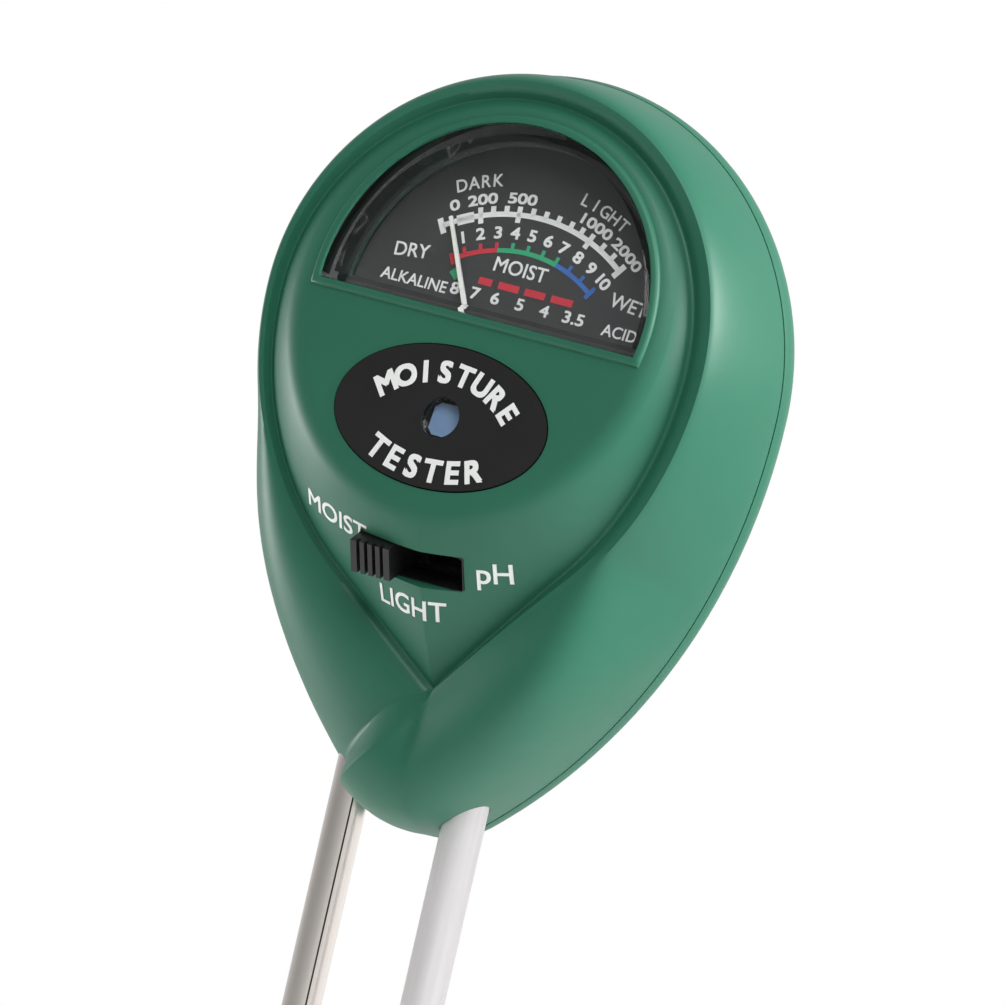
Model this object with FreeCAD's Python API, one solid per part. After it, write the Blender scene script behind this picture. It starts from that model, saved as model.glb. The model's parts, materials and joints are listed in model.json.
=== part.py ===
import FreeCAD, Part
import math
import os

# Hand-held three-way soil meter: an egg-shaped plastic head on two metal probes.
# Millimetres, +Z up, +X to the user's right, front of the head towards -Y.
# The head is drawn about a working origin midway between the two probe axes, level
# with the lowest point of the head. The finished pieces are then moved so that the
# origin is the middle of the whole object's footprint, level with the probe tips.

Vector = FreeCAD.Vector
Placement = FreeCAD.Placement
Rotation = FreeCAD.Rotation
X_AXIS = Vector(1, 0, 0)
Y_AXIS = Vector(0, 1, 0)
Z_AXIS = Vector(0, 0, 1)

# ---------------------------------------------------------------- driving sizes
HEAD_TOP_RADIUS = 33.0        # round top of the egg outline
HEAD_TIP_RADIUS = 12.0        # round bottom of the egg outline
HEAD_HEIGHT = 90.0
WALL = 2.0                    # plastic wall of both shells
SEAM_Y = 5.5                  # parting plane between front shell and rear cover
SEAM_GAP = 0.2                # shadow line left open between the two shells
BACK_Y = 16.6                 # flat back of the rear cover

PLATEAU_TILT = 13.6           # the dial face leans back by this angle, degrees
CHORD_Y = -10.4               # origin of the plateau plane: lower edge of the window's lip
CHORD_Z = 60.0
PLATEAU_HALF_WIDTH = 23.2
PLATEAU_HALF_HEIGHT = 24.3
PLATEAU_CENTRE = 1.2          # heights in the plateau plane are counted up from that origin

PANEL_RADIUS = 27.4           # teardrop panel that carries the plateau
PANEL_CENTRE_Z = 58.8
PANEL_FLANK_RADIUS = 38.0
PANEL_TIP_X = 2.9             # the point of the teardrop sits right of the middle
PANEL_TIP_Z = 18.2
PANEL_TIP_ANGLE = 51.0        # each straight side, measured from the vertical

WINDOW_RADIUS = 21.2
WINDOW_CENTRE = 3.0           # arc centre, in the plateau plane
WINDOW_CHORD = 0.9            # straight lower edge of the opening, just above the lip
WINDOW_LIP_WIDTH = 0.9
WINDOW_LIP_HEIGHT = 0.45

BADGE_WIDTH = 27.7
BADGE_HEIGHT = 16.8
BADGE_CENTRE = -11.4
BADGE_RECESS = 0.8
SENSOR_HOLE_RADIUS = 2.4

SWITCH_Y = -12.6              # middle of the switch slot on the lower panel
SWITCH_Z = 31.9
SWITCH_TILT = 28.0            # the lower panel faces downwards by this angle
SLOT_LENGTH = 14.0
SLOT_WIDTH = 4.5
KNOB_LENGTH = 5.2
SWITCH_TRAVEL = 8.6           # three detents: moisture, light, pH

PIVOT_DEPTH = -6.0            # pointer axis, in the plateau plane
POINTER_REACH = 21.5
POINTER_REST_ANGLE = 30.0     # leans left of upright at rest, degrees
DIAL_FACE = -7.2              # printed face of the dial behind the plateau

PROBE_SPACING = 15.4
PROBE_LENGTH = 195.0          # below the head
LEFT_PROBE_RADIUS = 2.25
RIGHT_PROBE_RADIUS = 2.5
PROBE_TIP_LENGTH = 8.0
PROBE_NECK = 0.25             # the upper ends are turned down by this much, for the head's bores
PROBE_NECK_Z = 0.5            # just under the plastic, so that a sleeve slides over the whole shaft
PROBE_TOP_Z = 21.0

# ---------------------------------------------------------------- derived values
HEAD_TOP_CENTRE_Z = HEAD_HEIGHT - HEAD_TOP_RADIUS
HEAD_TIP_CENTRE_Z = HEAD_TIP_RADIUS
CENTRE_GAP = HEAD_TOP_CENTRE_Z - HEAD_TIP_CENTRE_Z
RADIUS_GAP = HEAD_TOP_RADIUS - HEAD_TIP_RADIUS
# A flank arc centred level with the top arc touches the top and the tip arcs.
FLANK_OFFSET = (CENTRE_GAP ** 2 - RADIUS_GAP ** 2) / (2 * RADIUS_GAP)
FLANK_RADIUS = FLANK_OFFSET + HEAD_TOP_RADIUS
FLANK_ANGLE = math.degrees(math.atan2(CENTRE_GAP, FLANK_OFFSET))
PROBE_X = PROBE_SPACING / 2

PLATEAU_FRAME = Placement(Vector(0, CHORD_Y, CHORD_Z), Rotation(X_AXIS, 90 - PLATEAU_TILT))
SWITCH_FRAME = Placement(Vector(0, SWITCH_Y, SWITCH_Z), Rotation(X_AXIS, 90 + SWITCH_TILT))

# Depth (Y) and inset of the egg outline, from the seam forwards and backwards.
FRONT_STATIONS = ((SEAM_Y, 0.5), (1.5, 1.0), (-3.0, 2.7), (-7.0, 5.2), (-10.5, 8.8))
REAR_STATIONS = ((SEAM_Y + SEAM_GAP, 0.45), (8.0, 0.5), (11.0, 2.4), (14.0, 5.3), (BACK_Y, 9.7))


# ---------------------------------------------------------------- small helpers
def box(x0, x1, y0, y1, z0, z1):
    """Box between two corners."""
    return Part.makeBox(x1 - x0, y1 - y0, z1 - z0, Vector(x0, y0, z0))


def disc(radius, z0, z1, x=0.0, y=0.0):
    """Upright cylinder between two heights."""
    return Part.makeCylinder(radius, z1 - z0, Vector(x, y, z0), Z_AXIS)


def ring(outer, inner, z0, z1, x=0.0, y=0.0):
    """Upright tube between two heights."""
    return disc(outer, z0, z1, x, y).cut(disc(inner, z0, z1, x, y))


def bar_y(radius, y0, y1, x, z):
    """Cylinder along the depth direction."""
    return Part.makeCylinder(radius, y1 - y0, Vector(x, y0, z), Y_AXIS)


def in_frame(shape, frame):
    """Moves a shape from a local frame into the object's frame."""
    moved = shape.copy()
    moved.Placement = frame.multiply(shape.Placement)
    return moved


def on_plateau(shape):
    return in_frame(shape, PLATEAU_FRAME)


def on_switch(shape):
    return in_frame(shape, SWITCH_FRAME)


def join(shapes):
    """Fuses touching shapes into one clean solid."""
    fused = shapes[0]
    for shape in shapes[1:]:
        fused = fused.fuse(shape)
    return fused.removeSplitter()


def group(shapes):
    """Keeps separate solids together in one node."""
    return Part.makeCompound(shapes)


def arc_edge(centre_x, centre_z, radius, start, end, y):
    """Circular arc in a plane of constant depth, angles in degrees from +X."""
    def point(angle):
        a = math.radians(angle)
        return Vector(centre_x + radius * math.cos(a), y, centre_z + radius * math.sin(a))
    return Part.Arc(point(start), point((start + end) / 2), point(end)).toShape()


def smooth_edge(points):
    """One smooth edge through the given points."""
    curve = Part.BSplineCurve()
    curve.interpolate(points)
    return curve.toShape()


def pipe(points, radius):
    """Round wire swept along a smooth curve through the given points."""
    curve = Part.BSplineCurve()
    curve.interpolate([Vector(*p) for p in points])
    path = Part.Wire([curve.toShape()])
    start = curve.value(curve.FirstParameter)
    direction = curve.tangent(curve.FirstParameter)[0]
    profile = Part.Wire([Part.Circle(start, direction, radius).toShape()])
    return path.makePipeShell([profile], True, True)


# ---------------------------------------------------------------- outlines
def egg_wire(y, inset):
    """Egg outline of the head, moved inwards by a constant distance."""
    top = HEAD_TOP_RADIUS - inset
    flank = FLANK_RADIUS - inset
    tip = HEAD_TIP_RADIUS - inset
    return Part.Wire([
        arc_edge(0, HEAD_TOP_CENTRE_Z, top, 0, 180, y),
        arc_edge(FLANK_OFFSET, HEAD_TOP_CENTRE_Z, flank, 180, 180 + FLANK_ANGLE, y),
        arc_edge(0, HEAD_TIP_CENTRE_Z, tip, 180 + FLANK_ANGLE, 360 - FLANK_ANGLE, y),
        arc_edge(-FLANK_OFFSET, HEAD_TOP_CENTRE_Z, flank, 360 - FLANK_ANGLE, 360, y),
    ])


def egg_loft(stations, extra_inset=0.0):
    """Solid whose egg outline changes with depth."""
    wires = [egg_wire(y, inset + extra_inset) for y, inset in stations]
    return Part.makeLoft(wires, True, False)


def teardrop_wire(y, inset):
    """Round-topped panel outline with a pointed lower end."""
    radius = PANEL_RADIUS - inset
    flank = PANEL_FLANK_RADIUS - inset
    centre = PANEL_FLANK_RADIUS - PANEL_RADIUS
    turn = 90 - PANEL_TIP_ANGLE
    left = arc_edge(centre, PANEL_CENTRE_Z, flank, 180, 270 - turn, y)
    right = arc_edge(-centre, PANEL_CENTRE_Z, flank, 270 + turn, 360, y)
    tip = Vector(PANEL_TIP_X, y, PANEL_TIP_Z + inset / math.sin(math.radians(PANEL_TIP_ANGLE)))
    return Part.Wire([
        arc_edge(0, PANEL_CENTRE_Z, radius, 0, 180, y),
        left,
        Part.makeLine(left.Vertexes[-1].Point, tip),
        Part.makeLine(tip, right.Vertexes[0].Point),
        right,
    ])


def oval_wire(half_width, half_height, centre_y, z, cuts):
    """Ellipse in a local plane, split at the given angles."""
    def point(angle):
        a = math.radians(angle)
        return Vector(half_width * math.cos(a), centre_y + half_height * math.sin(a), z)
    edges = []
    for start, end in zip(cuts[:-1], cuts[1:]):
        steps = 8
        points = [point(start + (end - start) * i / steps) for i in range(steps + 1)]
        edges.append(smooth_edge(points))
    return Part.Wire(edges)


def oval_prism(width, height, centre_y, z0, z1):
    """Straight elliptical plug in a local plane."""
    ellipse = Part.Ellipse(Vector(0, centre_y, z0), width / 2, height / 2)
    return Part.Face(Part.Wire([ellipse.toShape()])).extrude(Vector(0, 0, z1 - z0))


def window_prism(grow, z0, z1, chord=WINDOW_CHORD):
    """D-shaped prism: a circular arc closed by a chord, grown outwards all round."""
    radius = WINDOW_RADIUS + grow
    base = chord - grow
    half = math.sqrt(radius ** 2 - (WINDOW_CENTRE - base) ** 2)
    left = Vector(-half, base, z0)
    right = Vector(half, base, z0)
    arc = Part.Arc(right, Vector(0, WINDOW_CENTRE + radius, z0), left).toShape()
    return Part.Face(Part.Wire([arc, Part.makeLine(left, right)])).extrude(Vector(0, 0, z1 - z0))


# ---------------------------------------------------------------- outer forms
PANEL_CUTS = (0, 180, 230, 270, 310, 360)
PANEL_ROOT_Y = 1.0
VALLEY_FRONT_Z = 42.0         # the groove round the panel comes furthest forward here
VALLEY_FRONT_Y = -7.3
VALLEY_TOP_BEND = 0.00253     # how fast it falls back towards the top, 1/mm
VALLEY_TIP_BEND = 0.0040      # and towards the tip
CREST_HEIGHT = 0.7            # the outer band stands this far in front of the groove


def valley_y(z):
    """Depth of the groove round the panel at a height."""
    z = max(z, PANEL_TIP_Z)
    bend = VALLEY_TOP_BEND if z > VALLEY_FRONT_Z else VALLEY_TIP_BEND
    return VALLEY_FRONT_Y + bend * (z - VALLEY_FRONT_Z) ** 2


def along_valley(wire, depth):
    """Bends a flat outline onto the groove's curved side profile."""
    edges = []
    for edge in wire.Edges:
        points = [Vector(p.x, valley_y(p.z) + depth, p.z) for p in edge.discretize(9)]
        edges.append(smooth_edge(points))
    return Part.Wire(edges)


def panel_form(inset, depth):
    """Raised panel: teardrop foot inside the band, oval plateau on the dial plane."""
    oval = oval_wire(PLATEAU_HALF_WIDTH - inset * 0.6, PLATEAU_HALF_HEIGHT - inset * 0.6,
                     PLATEAU_CENTRE, -depth, PANEL_CUTS)
    root = teardrop_wire(PANEL_ROOT_Y, inset)
    return Part.makeLoft([root, along_valley(root, depth), on_plateau(oval)], True, True)


def band_front_cutter(depth):
    """Everything in front of the outer band's face, which is bent in side view."""
    side = -HEAD_TOP_RADIUS - 5.0
    far = -40.0
    steps = 10
    top = HEAD_HEIGHT + 2.0
    heights = [top + (PANEL_TIP_Z - top) * i / steps for i in range(steps + 1)]
    crest = [Vector(side, valley_y(z) - CREST_HEIGHT + depth, z) for z in heights]
    low = Vector(side, crest[-1].y, -2.0)
    outside = Part.makePolygon([crest[-1], low, Vector(side, far, -2.0), Vector(side, far, top), crest[0]])
    profile = Part.Wire([smooth_edge(crest)] + outside.Edges)
    return Part.Face(profile).extrude(Vector(-2 * side, 0, 0))


def front_form(inset=0.0, depth=0.0):
    """Closed outer form of the front half; insets give the hollow behind the wall."""
    band = egg_loft(FRONT_STATIONS, inset).cut(band_front_cutter(depth))
    return band.fuse(panel_form(inset, depth)).removeSplitter()


COVER_SCREW_PLACES = ((-19.9, 77.0), (19.9, 77.0), (0.0, 9.6))
COVER_SEAT_Y = 9.5
COVER_HEAD_RADIUS = 2.3
COVER_SHANK_RADIUS = 1.1
COVER_SHANK_END_Y = -1.5
COVER_POST_RADIUS = 2.5
MOVEMENT_POST_X = 18.0
MOVEMENT_POST_Y = -8.5
MOVEMENT_BACK = -20.0


def front_shell():
    """Front half of the head with its openings, posts and window lip."""
    outer = front_form()
    hollow = front_form(WALL, WALL)
    shell = outer.cut(hollow)
    for x, z in COVER_SCREW_PLACES:
        post = bar_y(COVER_POST_RADIUS, -9.0, SEAM_Y, x, z).common(outer)
        shell = shell.fuse(post)
    posts = [on_plateau(disc(2.2, MOVEMENT_BACK, -1.0, x, MOVEMENT_POST_Y))
             for x in (-MOVEMENT_POST_X, MOVEMENT_POST_X)]
    lip = window_prism(WINDOW_LIP_WIDTH, -1.0, WINDOW_LIP_HEIGHT)
    shell = shell.fuse(posts).fuse(on_plateau(lip))
    holes = [
        on_plateau(window_prism(0.0, -WALL - 2.0, 2.0)),
        on_plateau(oval_prism(BADGE_WIDTH + 0.3, BADGE_HEIGHT + 0.3, BADGE_CENTRE, -BADGE_RECESS, 2.0)),
        on_plateau(disc(SENSOR_HOLE_RADIUS + 0.4, -4.0, 1.0, 0, BADGE_CENTRE)),
        on_switch(box(-SLOT_LENGTH / 2, SLOT_LENGTH / 2, -SLOT_WIDTH / 2, SLOT_WIDTH / 2, -5.0, 4.0)),
        on_switch(box(-CAN_HALF_X - 0.2, CAN_HALF_X + 0.2, -CAN_HALF_Y - 0.2, CAN_HALF_Y + 0.2,
                      CAN_BOTTOM, CAN_TOP + 0.1)),
        disc(LEFT_PROBE_RADIUS + 0.35, -2.0, 12.0, -PROBE_X, 0),
        disc(RIGHT_PROBE_RADIUS + 0.35, -2.0, 12.0, PROBE_X, 0),
    ]
    for x, z in COVER_SCREW_PLACES:
        holes.append(bar_y(COVER_SHANK_RADIUS, COVER_SHANK_END_Y, SEAM_Y, x, z))
    for x in (-MOVEMENT_POST_X, MOVEMENT_POST_X):
        holes.append(on_plateau(disc(0.8, MOVEMENT_BACK, MOVEMENT_BACK + 5.0, x, MOVEMENT_POST_Y)))
    return shell.cut(holes)


def rear_cover():
    """Rounded rear half with a locating lip and three screw wells."""
    outer = egg_loft(REAR_STATIONS)
    squeeze = (BACK_Y - WALL - SEAM_Y) / (BACK_Y - SEAM_Y)
    hollow = egg_loft([(SEAM_Y + (y - SEAM_Y) * squeeze, inset) for y, inset in REAR_STATIONS], WALL)
    lip_stations = ((SEAM_Y - 2.0, 1.0), (SEAM_Y + 3.0, -0.3))
    lip = egg_loft(lip_stations, WALL + 0.1).cut(egg_loft(lip_stations, WALL + 1.3))
    shell = outer.cut(hollow).fuse(lip)
    well_radius = COVER_HEAD_RADIUS + 1.6
    for x, z in COVER_SCREW_PLACES:
        post = bar_y(well_radius, SEAM_Y, BACK_Y, x, z).common(outer)
        shell = shell.fuse(post)
    holes = []
    for x, z in COVER_SCREW_PLACES:
        holes.append(bar_y(COVER_SHANK_RADIUS, 0.0, BACK_Y, x, z))
        holes.append(bar_y(COVER_HEAD_RADIUS + 0.2, COVER_SEAT_Y, BACK_Y + 1.0, x, z))
        holes.append(bar_y(COVER_POST_RADIUS + 0.5, 0.0, SEAM_Y, x, z))
    for x in (-PROBE_X, PROBE_X):
        holes.append(disc(RIGHT_PROBE_RADIUS + 0.35, -2.0, 12.0, x, 0))
    return shell.cut(holes)


def cover_screws():
    """Three pan-head screws with cross recesses, driven in from the back."""
    screws = []
    for x, z in COVER_SCREW_PLACES:
        head = bar_y(COVER_HEAD_RADIUS, COVER_SEAT_Y, COVER_SEAT_Y + 1.6, x, z)
        shank = bar_y(COVER_SHANK_RADIUS, COVER_SHANK_END_Y, COVER_SEAT_Y, x, z)
        top = COVER_SEAT_Y + 1.6
        cross = box(x - 1.5, x + 1.5, top - 0.8, top + 1, z - 0.3, z + 0.3).fuse(
            box(x - 0.3, x + 0.3, top - 0.8, top + 1, z - 1.5, z + 1.5))
        screws.append(join([head, shank]).cut(cross))
    return group(screws)


# ---------------------------------------------------------------- window and badge
LENS_GAP = 0.15
LENS_WALL = 1.1
LENS_FRONT = 0.1
LENS_PLATE = 1.2
LENS_BACK = -5.6
LENS_FOOT_X = 15.0


def window_lens():
    """Clear D-shaped box lid: front plate, side walls and a foot along the chord."""
    body = window_prism(-LENS_GAP, LENS_BACK, LENS_FRONT)
    inside = window_prism(-LENS_GAP - LENS_WALL, LENS_BACK, LENS_FRONT - LENS_PLATE)
    foot = box(-LENS_FOOT_X, LENS_FOOT_X, -2.4, WINDOW_CHORD + 0.5, -WALL - 1.0, -WALL)
    return on_plateau(body.fuse(foot).cut(inside).removeSplitter())


def badge_plate():
    """Oval badge seated in its recess, with a bevelled hole over the light cell."""
    plate = oval_prism(BADGE_WIDTH, BADGE_HEIGHT, BADGE_CENTRE, -BADGE_RECESS, 0.15)
    hole = disc(SENSOR_HOLE_RADIUS, -2.0, 2.0, 0, BADGE_CENTRE)
    return on_plateau(plate.cut(hole))


def sensor_window():
    """Clear plug in the badge hole."""
    return on_plateau(disc(SENSOR_HOLE_RADIUS, -1.2, -0.3, 0, BADGE_CENTRE))


def light_sensor():
    """Small eight-sided light cell behind the clear plug."""
    half_x = 1.75
    half_y = 1.95
    chamfer = 0.7
    corners = [(half_x, half_y - chamfer), (half_x - chamfer, half_y), (chamfer - half_x, half_y),
               (-half_x, half_y - chamfer), (-half_x, chamfer - half_y), (chamfer - half_x, -half_y),
               (half_x - chamfer, -half_y), (half_x, chamfer - half_y)]
    points = [Vector(x, BADGE_CENTRE + y, -2.0) for x, y in corners]
    chip = Part.Face(Part.makePolygon(points + [points[0]])).extrude(Vector(0, 0, 0.6))
    return on_plateau(chip)


def sensor_holder():
    """Tray that carries the light cell under the badge."""
    tray = box(-4.2, 4.2, BADGE_CENTRE - 3.4, BADGE_CENTRE + 2.4, -3.6, -WALL)
    return on_plateau(tray)


# ---------------------------------------------------------------- meter movement
BASE_THICKNESS = 1.5
YOKE_RADIUS = 10.0
YOKE_BORE = 8.5
YOKE_FRONT = -10.5
YOKE_BACK = -17.5
CORE_RADIUS = 6.0
BRIDGE_FRONT = -4.6
BRIDGE_BACK = -5.4
BRIDGE_WIDTH = 3.4
BRIDGE_LEG_X = 10.9
POINTER_FRONT = -6.2
POINTER_BACK = -6.5
POINTER_TAIL = 5.0
PIVOT_RADIUS = 0.4
DIAL_POST_X = 14.6
DIAL_POST_Y = -2.4


def dial_plate():
    """Dial sheet behind the window, held by two screws below the chord."""
    plate = window_prism(-0.5, DIAL_FACE - 0.5, DIAL_FACE, -4.6)
    holes = [disc(0.9, DIAL_FACE - 1, DIAL_FACE + 1, x, DIAL_POST_Y) for x in (-DIAL_POST_X, DIAL_POST_X)]
    return on_plateau(plate.cut(holes))


def dial_screws():
    """Two small screws that hold the dial on the base's posts."""
    screws = []
    for x in (-DIAL_POST_X, DIAL_POST_X):
        head = disc(1.5, DIAL_FACE, DIAL_FACE + 0.8, x, DIAL_POST_Y)
        shank = disc(0.8, DIAL_FACE - 4.0, DIAL_FACE, x, DIAL_POST_Y)
        slot = box(x - 1.5, x + 1.5, DIAL_POST_Y - 0.2, DIAL_POST_Y + 0.2, DIAL_FACE + 0.4, DIAL_FACE + 1)
        screws.append(on_plateau(join([head, shank]).cut(slot)))
    return group(screws)


def movement_base():
    """Moulded frame that carries the magnet system, the dial posts and the rear jewel."""
    back = MOVEMENT_BACK - BASE_THICKNESS
    plate = box(-12.6, 12.6, PIVOT_DEPTH - 11.4, PIVOT_DEPTH + 11.4, back, MOVEMENT_BACK)
    ears = box(-MOVEMENT_POST_X - 2.0, MOVEMENT_POST_X + 2.0, MOVEMENT_POST_Y - 2.4, MOVEMENT_POST_Y + 2.4,
               back, MOVEMENT_BACK)
    feet = box(-DIAL_POST_X - 1.8, DIAL_POST_X + 1.8, DIAL_POST_Y - 1.8, DIAL_POST_Y + 1.8,
               back, MOVEMENT_BACK)
    seat = ring(YOKE_RADIUS + 0.9, YOKE_BORE + 0.3, MOVEMENT_BACK, YOKE_BACK, 0, PIVOT_DEPTH)
    collar = ring(YOKE_RADIUS + 0.9, YOKE_RADIUS, YOKE_BACK, YOKE_BACK + 2.0, 0, PIVOT_DEPTH)
    parts = [plate, ears, feet, seat, collar]
    for x in (-DIAL_POST_X, DIAL_POST_X):
        parts.append(disc(1.7, MOVEMENT_BACK, DIAL_FACE - 0.5, x, DIAL_POST_Y))
    body = join(parts)
    holes = [disc(1.0, back, MOVEMENT_BACK, 0, PIVOT_DEPTH)]
    for x in (-DIAL_POST_X, DIAL_POST_X):
        holes.append(disc(0.8, DIAL_FACE - 4.0, DIAL_FACE, x, DIAL_POST_Y))
    for x in (-MOVEMENT_POST_X, MOVEMENT_POST_X):
        holes.append(disc(0.8, back, MOVEMENT_BACK, x, MOVEMENT_POST_Y))
    for x in (-BRIDGE_LEG_X, BRIDGE_LEG_X):
        holes.append(box(x - 0.6, x + 0.6, PIVOT_DEPTH - BRIDGE_WIDTH / 2, PIVOT_DEPTH + BRIDGE_WIDTH / 2,
                         back, YOKE_FRONT))
    return on_plateau(body.cut(holes))


def movement_screws():
    """Two screws that hold the movement on the front shell's posts."""
    back = MOVEMENT_BACK - BASE_THICKNESS
    screws = []
    for x in (-MOVEMENT_POST_X, MOVEMENT_POST_X):
        head = disc(1.6, back - 1.0, back, x, MOVEMENT_POST_Y)
        shank = disc(0.8, back, MOVEMENT_BACK + 5.0, x, MOVEMENT_POST_Y)
        slot = box(x - 1.6, x + 1.6, MOVEMENT_POST_Y - 0.2, MOVEMENT_POST_Y + 0.2, back - 1.0, back - 0.5)
        screws.append(on_plateau(join([head, shank]).cut(slot)))
    return group(screws)


def yoke_ring():
    """Soft-iron ring that closes the magnetic circuit."""
    return on_plateau(ring(YOKE_RADIUS, YOKE_BORE, YOKE_BACK, YOKE_FRONT, 0, PIVOT_DEPTH))


def core_magnet():
    """Cylindrical magnet that the coil turns around."""
    return on_plateau(disc(CORE_RADIUS, -16.8, -11.2, 0, PIVOT_DEPTH))


def core_support():
    """Two brass blocks that hold the core in the middle of the ring."""
    middle = (YOKE_FRONT + YOKE_BACK) / 2
    bar = box(-1.2, 1.2, PIVOT_DEPTH - YOKE_BORE, PIVOT_DEPTH + YOKE_BORE, middle - 1.0, middle + 1.0)
    inside = ring(YOKE_BORE, CORE_RADIUS, middle - 1.0, middle + 1.0, 0, PIVOT_DEPTH)
    return on_plateau(bar.common(inside))


def front_bridge():
    """Brass bridge over the pointer hub, with legs down to the base."""
    low = PIVOT_DEPTH - BRIDGE_WIDTH / 2
    high = PIVOT_DEPTH + BRIDGE_WIDTH / 2
    strap = box(-BRIDGE_LEG_X - 0.6, BRIDGE_LEG_X + 0.6, low, high, BRIDGE_BACK, BRIDGE_FRONT)
    legs = [box(x - 0.6, x + 0.6, low, high, MOVEMENT_BACK - BASE_THICKNESS, BRIDGE_BACK)
            for x in (-BRIDGE_LEG_X, BRIDGE_LEG_X)]
    bridge = join([strap] + legs)
    ring_room = disc(YOKE_RADIUS, YOKE_BACK, YOKE_FRONT, 0, PIVOT_DEPTH)
    return on_plateau(bridge.cut([disc(1.0, BRIDGE_BACK, BRIDGE_FRONT, 0, PIVOT_DEPTH), ring_room]))


def jewel_bearings():
    """Front and rear bearing screws with blind bores for the pivots."""
    front = disc(1.0, BRIDGE_BACK, BRIDGE_FRONT + 0.2, 0, PIVOT_DEPTH)
    front = front.cut(disc(PIVOT_RADIUS + 0.05, BRIDGE_BACK, BRIDGE_BACK + 0.6, 0, PIVOT_DEPTH))
    back = MOVEMENT_BACK - BASE_THICKNESS
    rear = disc(1.0, back, MOVEMENT_BACK, 0, PIVOT_DEPTH)
    rear = rear.cut(disc(PIVOT_RADIUS + 0.05, MOVEMENT_BACK - 0.8, MOVEMENT_BACK, 0, PIVOT_DEPTH))
    return group([on_plateau(front), on_plateau(rear)])


def zero_adjust_arm():
    """Slotted arm clamped under the front bearing, which anchors the front hairspring."""
    plate = ring(2.2, 1.0, BRIDGE_FRONT, BRIDGE_FRONT + 0.2, 0, PIVOT_DEPTH)
    tail = box(-0.6, 0.6, PIVOT_DEPTH - 6.0, PIVOT_DEPTH - 2.0, BRIDGE_FRONT, BRIDGE_FRONT + 0.2)
    drop = box(-0.6, 0.6, PIVOT_DEPTH - 6.0, PIVOT_DEPTH - 5.7, -9.4, BRIDGE_FRONT)
    return on_plateau(join([plate, tail, drop]))


def turned(shape):
    """Turns a moving-coil piece from mid scale to its rest angle about the pivot."""
    shape = shape.copy()
    shape.rotate(Vector(0, PIVOT_DEPTH, 0), Z_AXIS, POINTER_REST_ANGLE)
    return on_plateau(shape)


def rectangular_loop(outer_x, inner_x, half_y, z0, z1, thickness):
    """Closed rectangular loop in a plane through the pivot axis."""
    outer = box(-outer_x, outer_x, PIVOT_DEPTH - half_y, PIVOT_DEPTH + half_y, z0, z1)
    opening = box(-inner_x, inner_x, PIVOT_DEPTH - half_y, PIVOT_DEPTH + half_y,
                  z0 + thickness, z1 - thickness)
    return outer.cut(opening)


def coil_frame():
    """Aluminium former that turns around the core."""
    return turned(rectangular_loop(7.0, 6.5, 1.2, -17.5, -10.5, 0.4))


def coil_winding():
    """Copper winding on the former."""
    return turned(rectangular_loop(7.8, 7.0, 1.0, -18.3, -9.7, 0.8))


def pivot_pins():
    """Steel pivots on the front and rear of the coil."""
    front = disc(PIVOT_RADIUS, -9.7, BRIDGE_BACK + 0.5, 0, PIVOT_DEPTH)
    rear = disc(PIVOT_RADIUS, MOVEMENT_BACK - 0.7, -18.3, 0, PIVOT_DEPTH)
    return group([turned(front), turned(rear)])


def pointer():
    """White tapered pointer with a round hub and a short tail."""
    hub = disc(1.5, POINTER_BACK - 0.3, POINTER_FRONT + 0.2, 0, PIVOT_DEPTH)
    right_side = [(0.4, -POINTER_TAIL), (0.32, 4.0), (0.22, POINTER_REACH)]
    left_side = [(-x, y) for x, y in reversed(right_side)]
    points = [Vector(x, PIVOT_DEPTH + y, POINTER_BACK) for x, y in right_side + left_side]
    flat = Part.Face(Part.makePolygon(points + [points[0]]))
    blade = flat.extrude(Vector(0, 0, POINTER_FRONT - POINTER_BACK))
    hole = disc(PIVOT_RADIUS, -8.0, -5.0, 0, PIVOT_DEPTH)
    return turned(join([hub, blade]).cut(hole))


def balance_weight():
    """Small weight on the pointer's tail."""
    low = PIVOT_DEPTH - POINTER_TAIL + 0.2
    block = box(-1.0, 1.0, low, low + 1.6, POINTER_BACK - 0.7, POINTER_FRONT + 0.3)
    tail = box(-0.4, 0.4, PIVOT_DEPTH - POINTER_TAIL - 1.0, PIVOT_DEPTH, POINTER_BACK, POINTER_FRONT)
    return turned(block.cut(tail))


def hairspring(z0, z1):
    """Flat spiral spring on a small collar."""
    turns = 3.0
    inner = 0.9
    outer = 4.2
    strip = 0.18
    steps = 36

    def spiral(offset):
        points = []
        for i in range(steps + 1):
            fraction = i / steps
            angle = 2 * math.pi * turns * fraction
            radius = inner + (outer - inner) * fraction + offset
            points.append(Vector(radius * math.cos(angle), PIVOT_DEPTH + radius * math.sin(angle), z0))
        curve = Part.BSplineCurve()
        curve.interpolate(points)
        return curve.toShape(), points[0], points[-1]

    near, near_start, near_end = spiral(0.0)
    far, far_start, far_end = spiral(strip)
    outline = Part.Wire(Part.__sortEdges__([near, Part.makeLine(near_end, far_end),
                                            far, Part.makeLine(far_start, near_start)]))
    strip_solid = Part.Face(outline).extrude(Vector(0, 0, z1 - z0))
    collar = ring(1.0, PIVOT_RADIUS, z0, z1, 0, PIVOT_DEPTH)
    return turned(join([strip_solid, collar]))


def front_hairspring():
    return hairspring(-8.9, -8.5)


def rear_hairspring():
    return hairspring(-19.4, -19.0)


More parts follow.
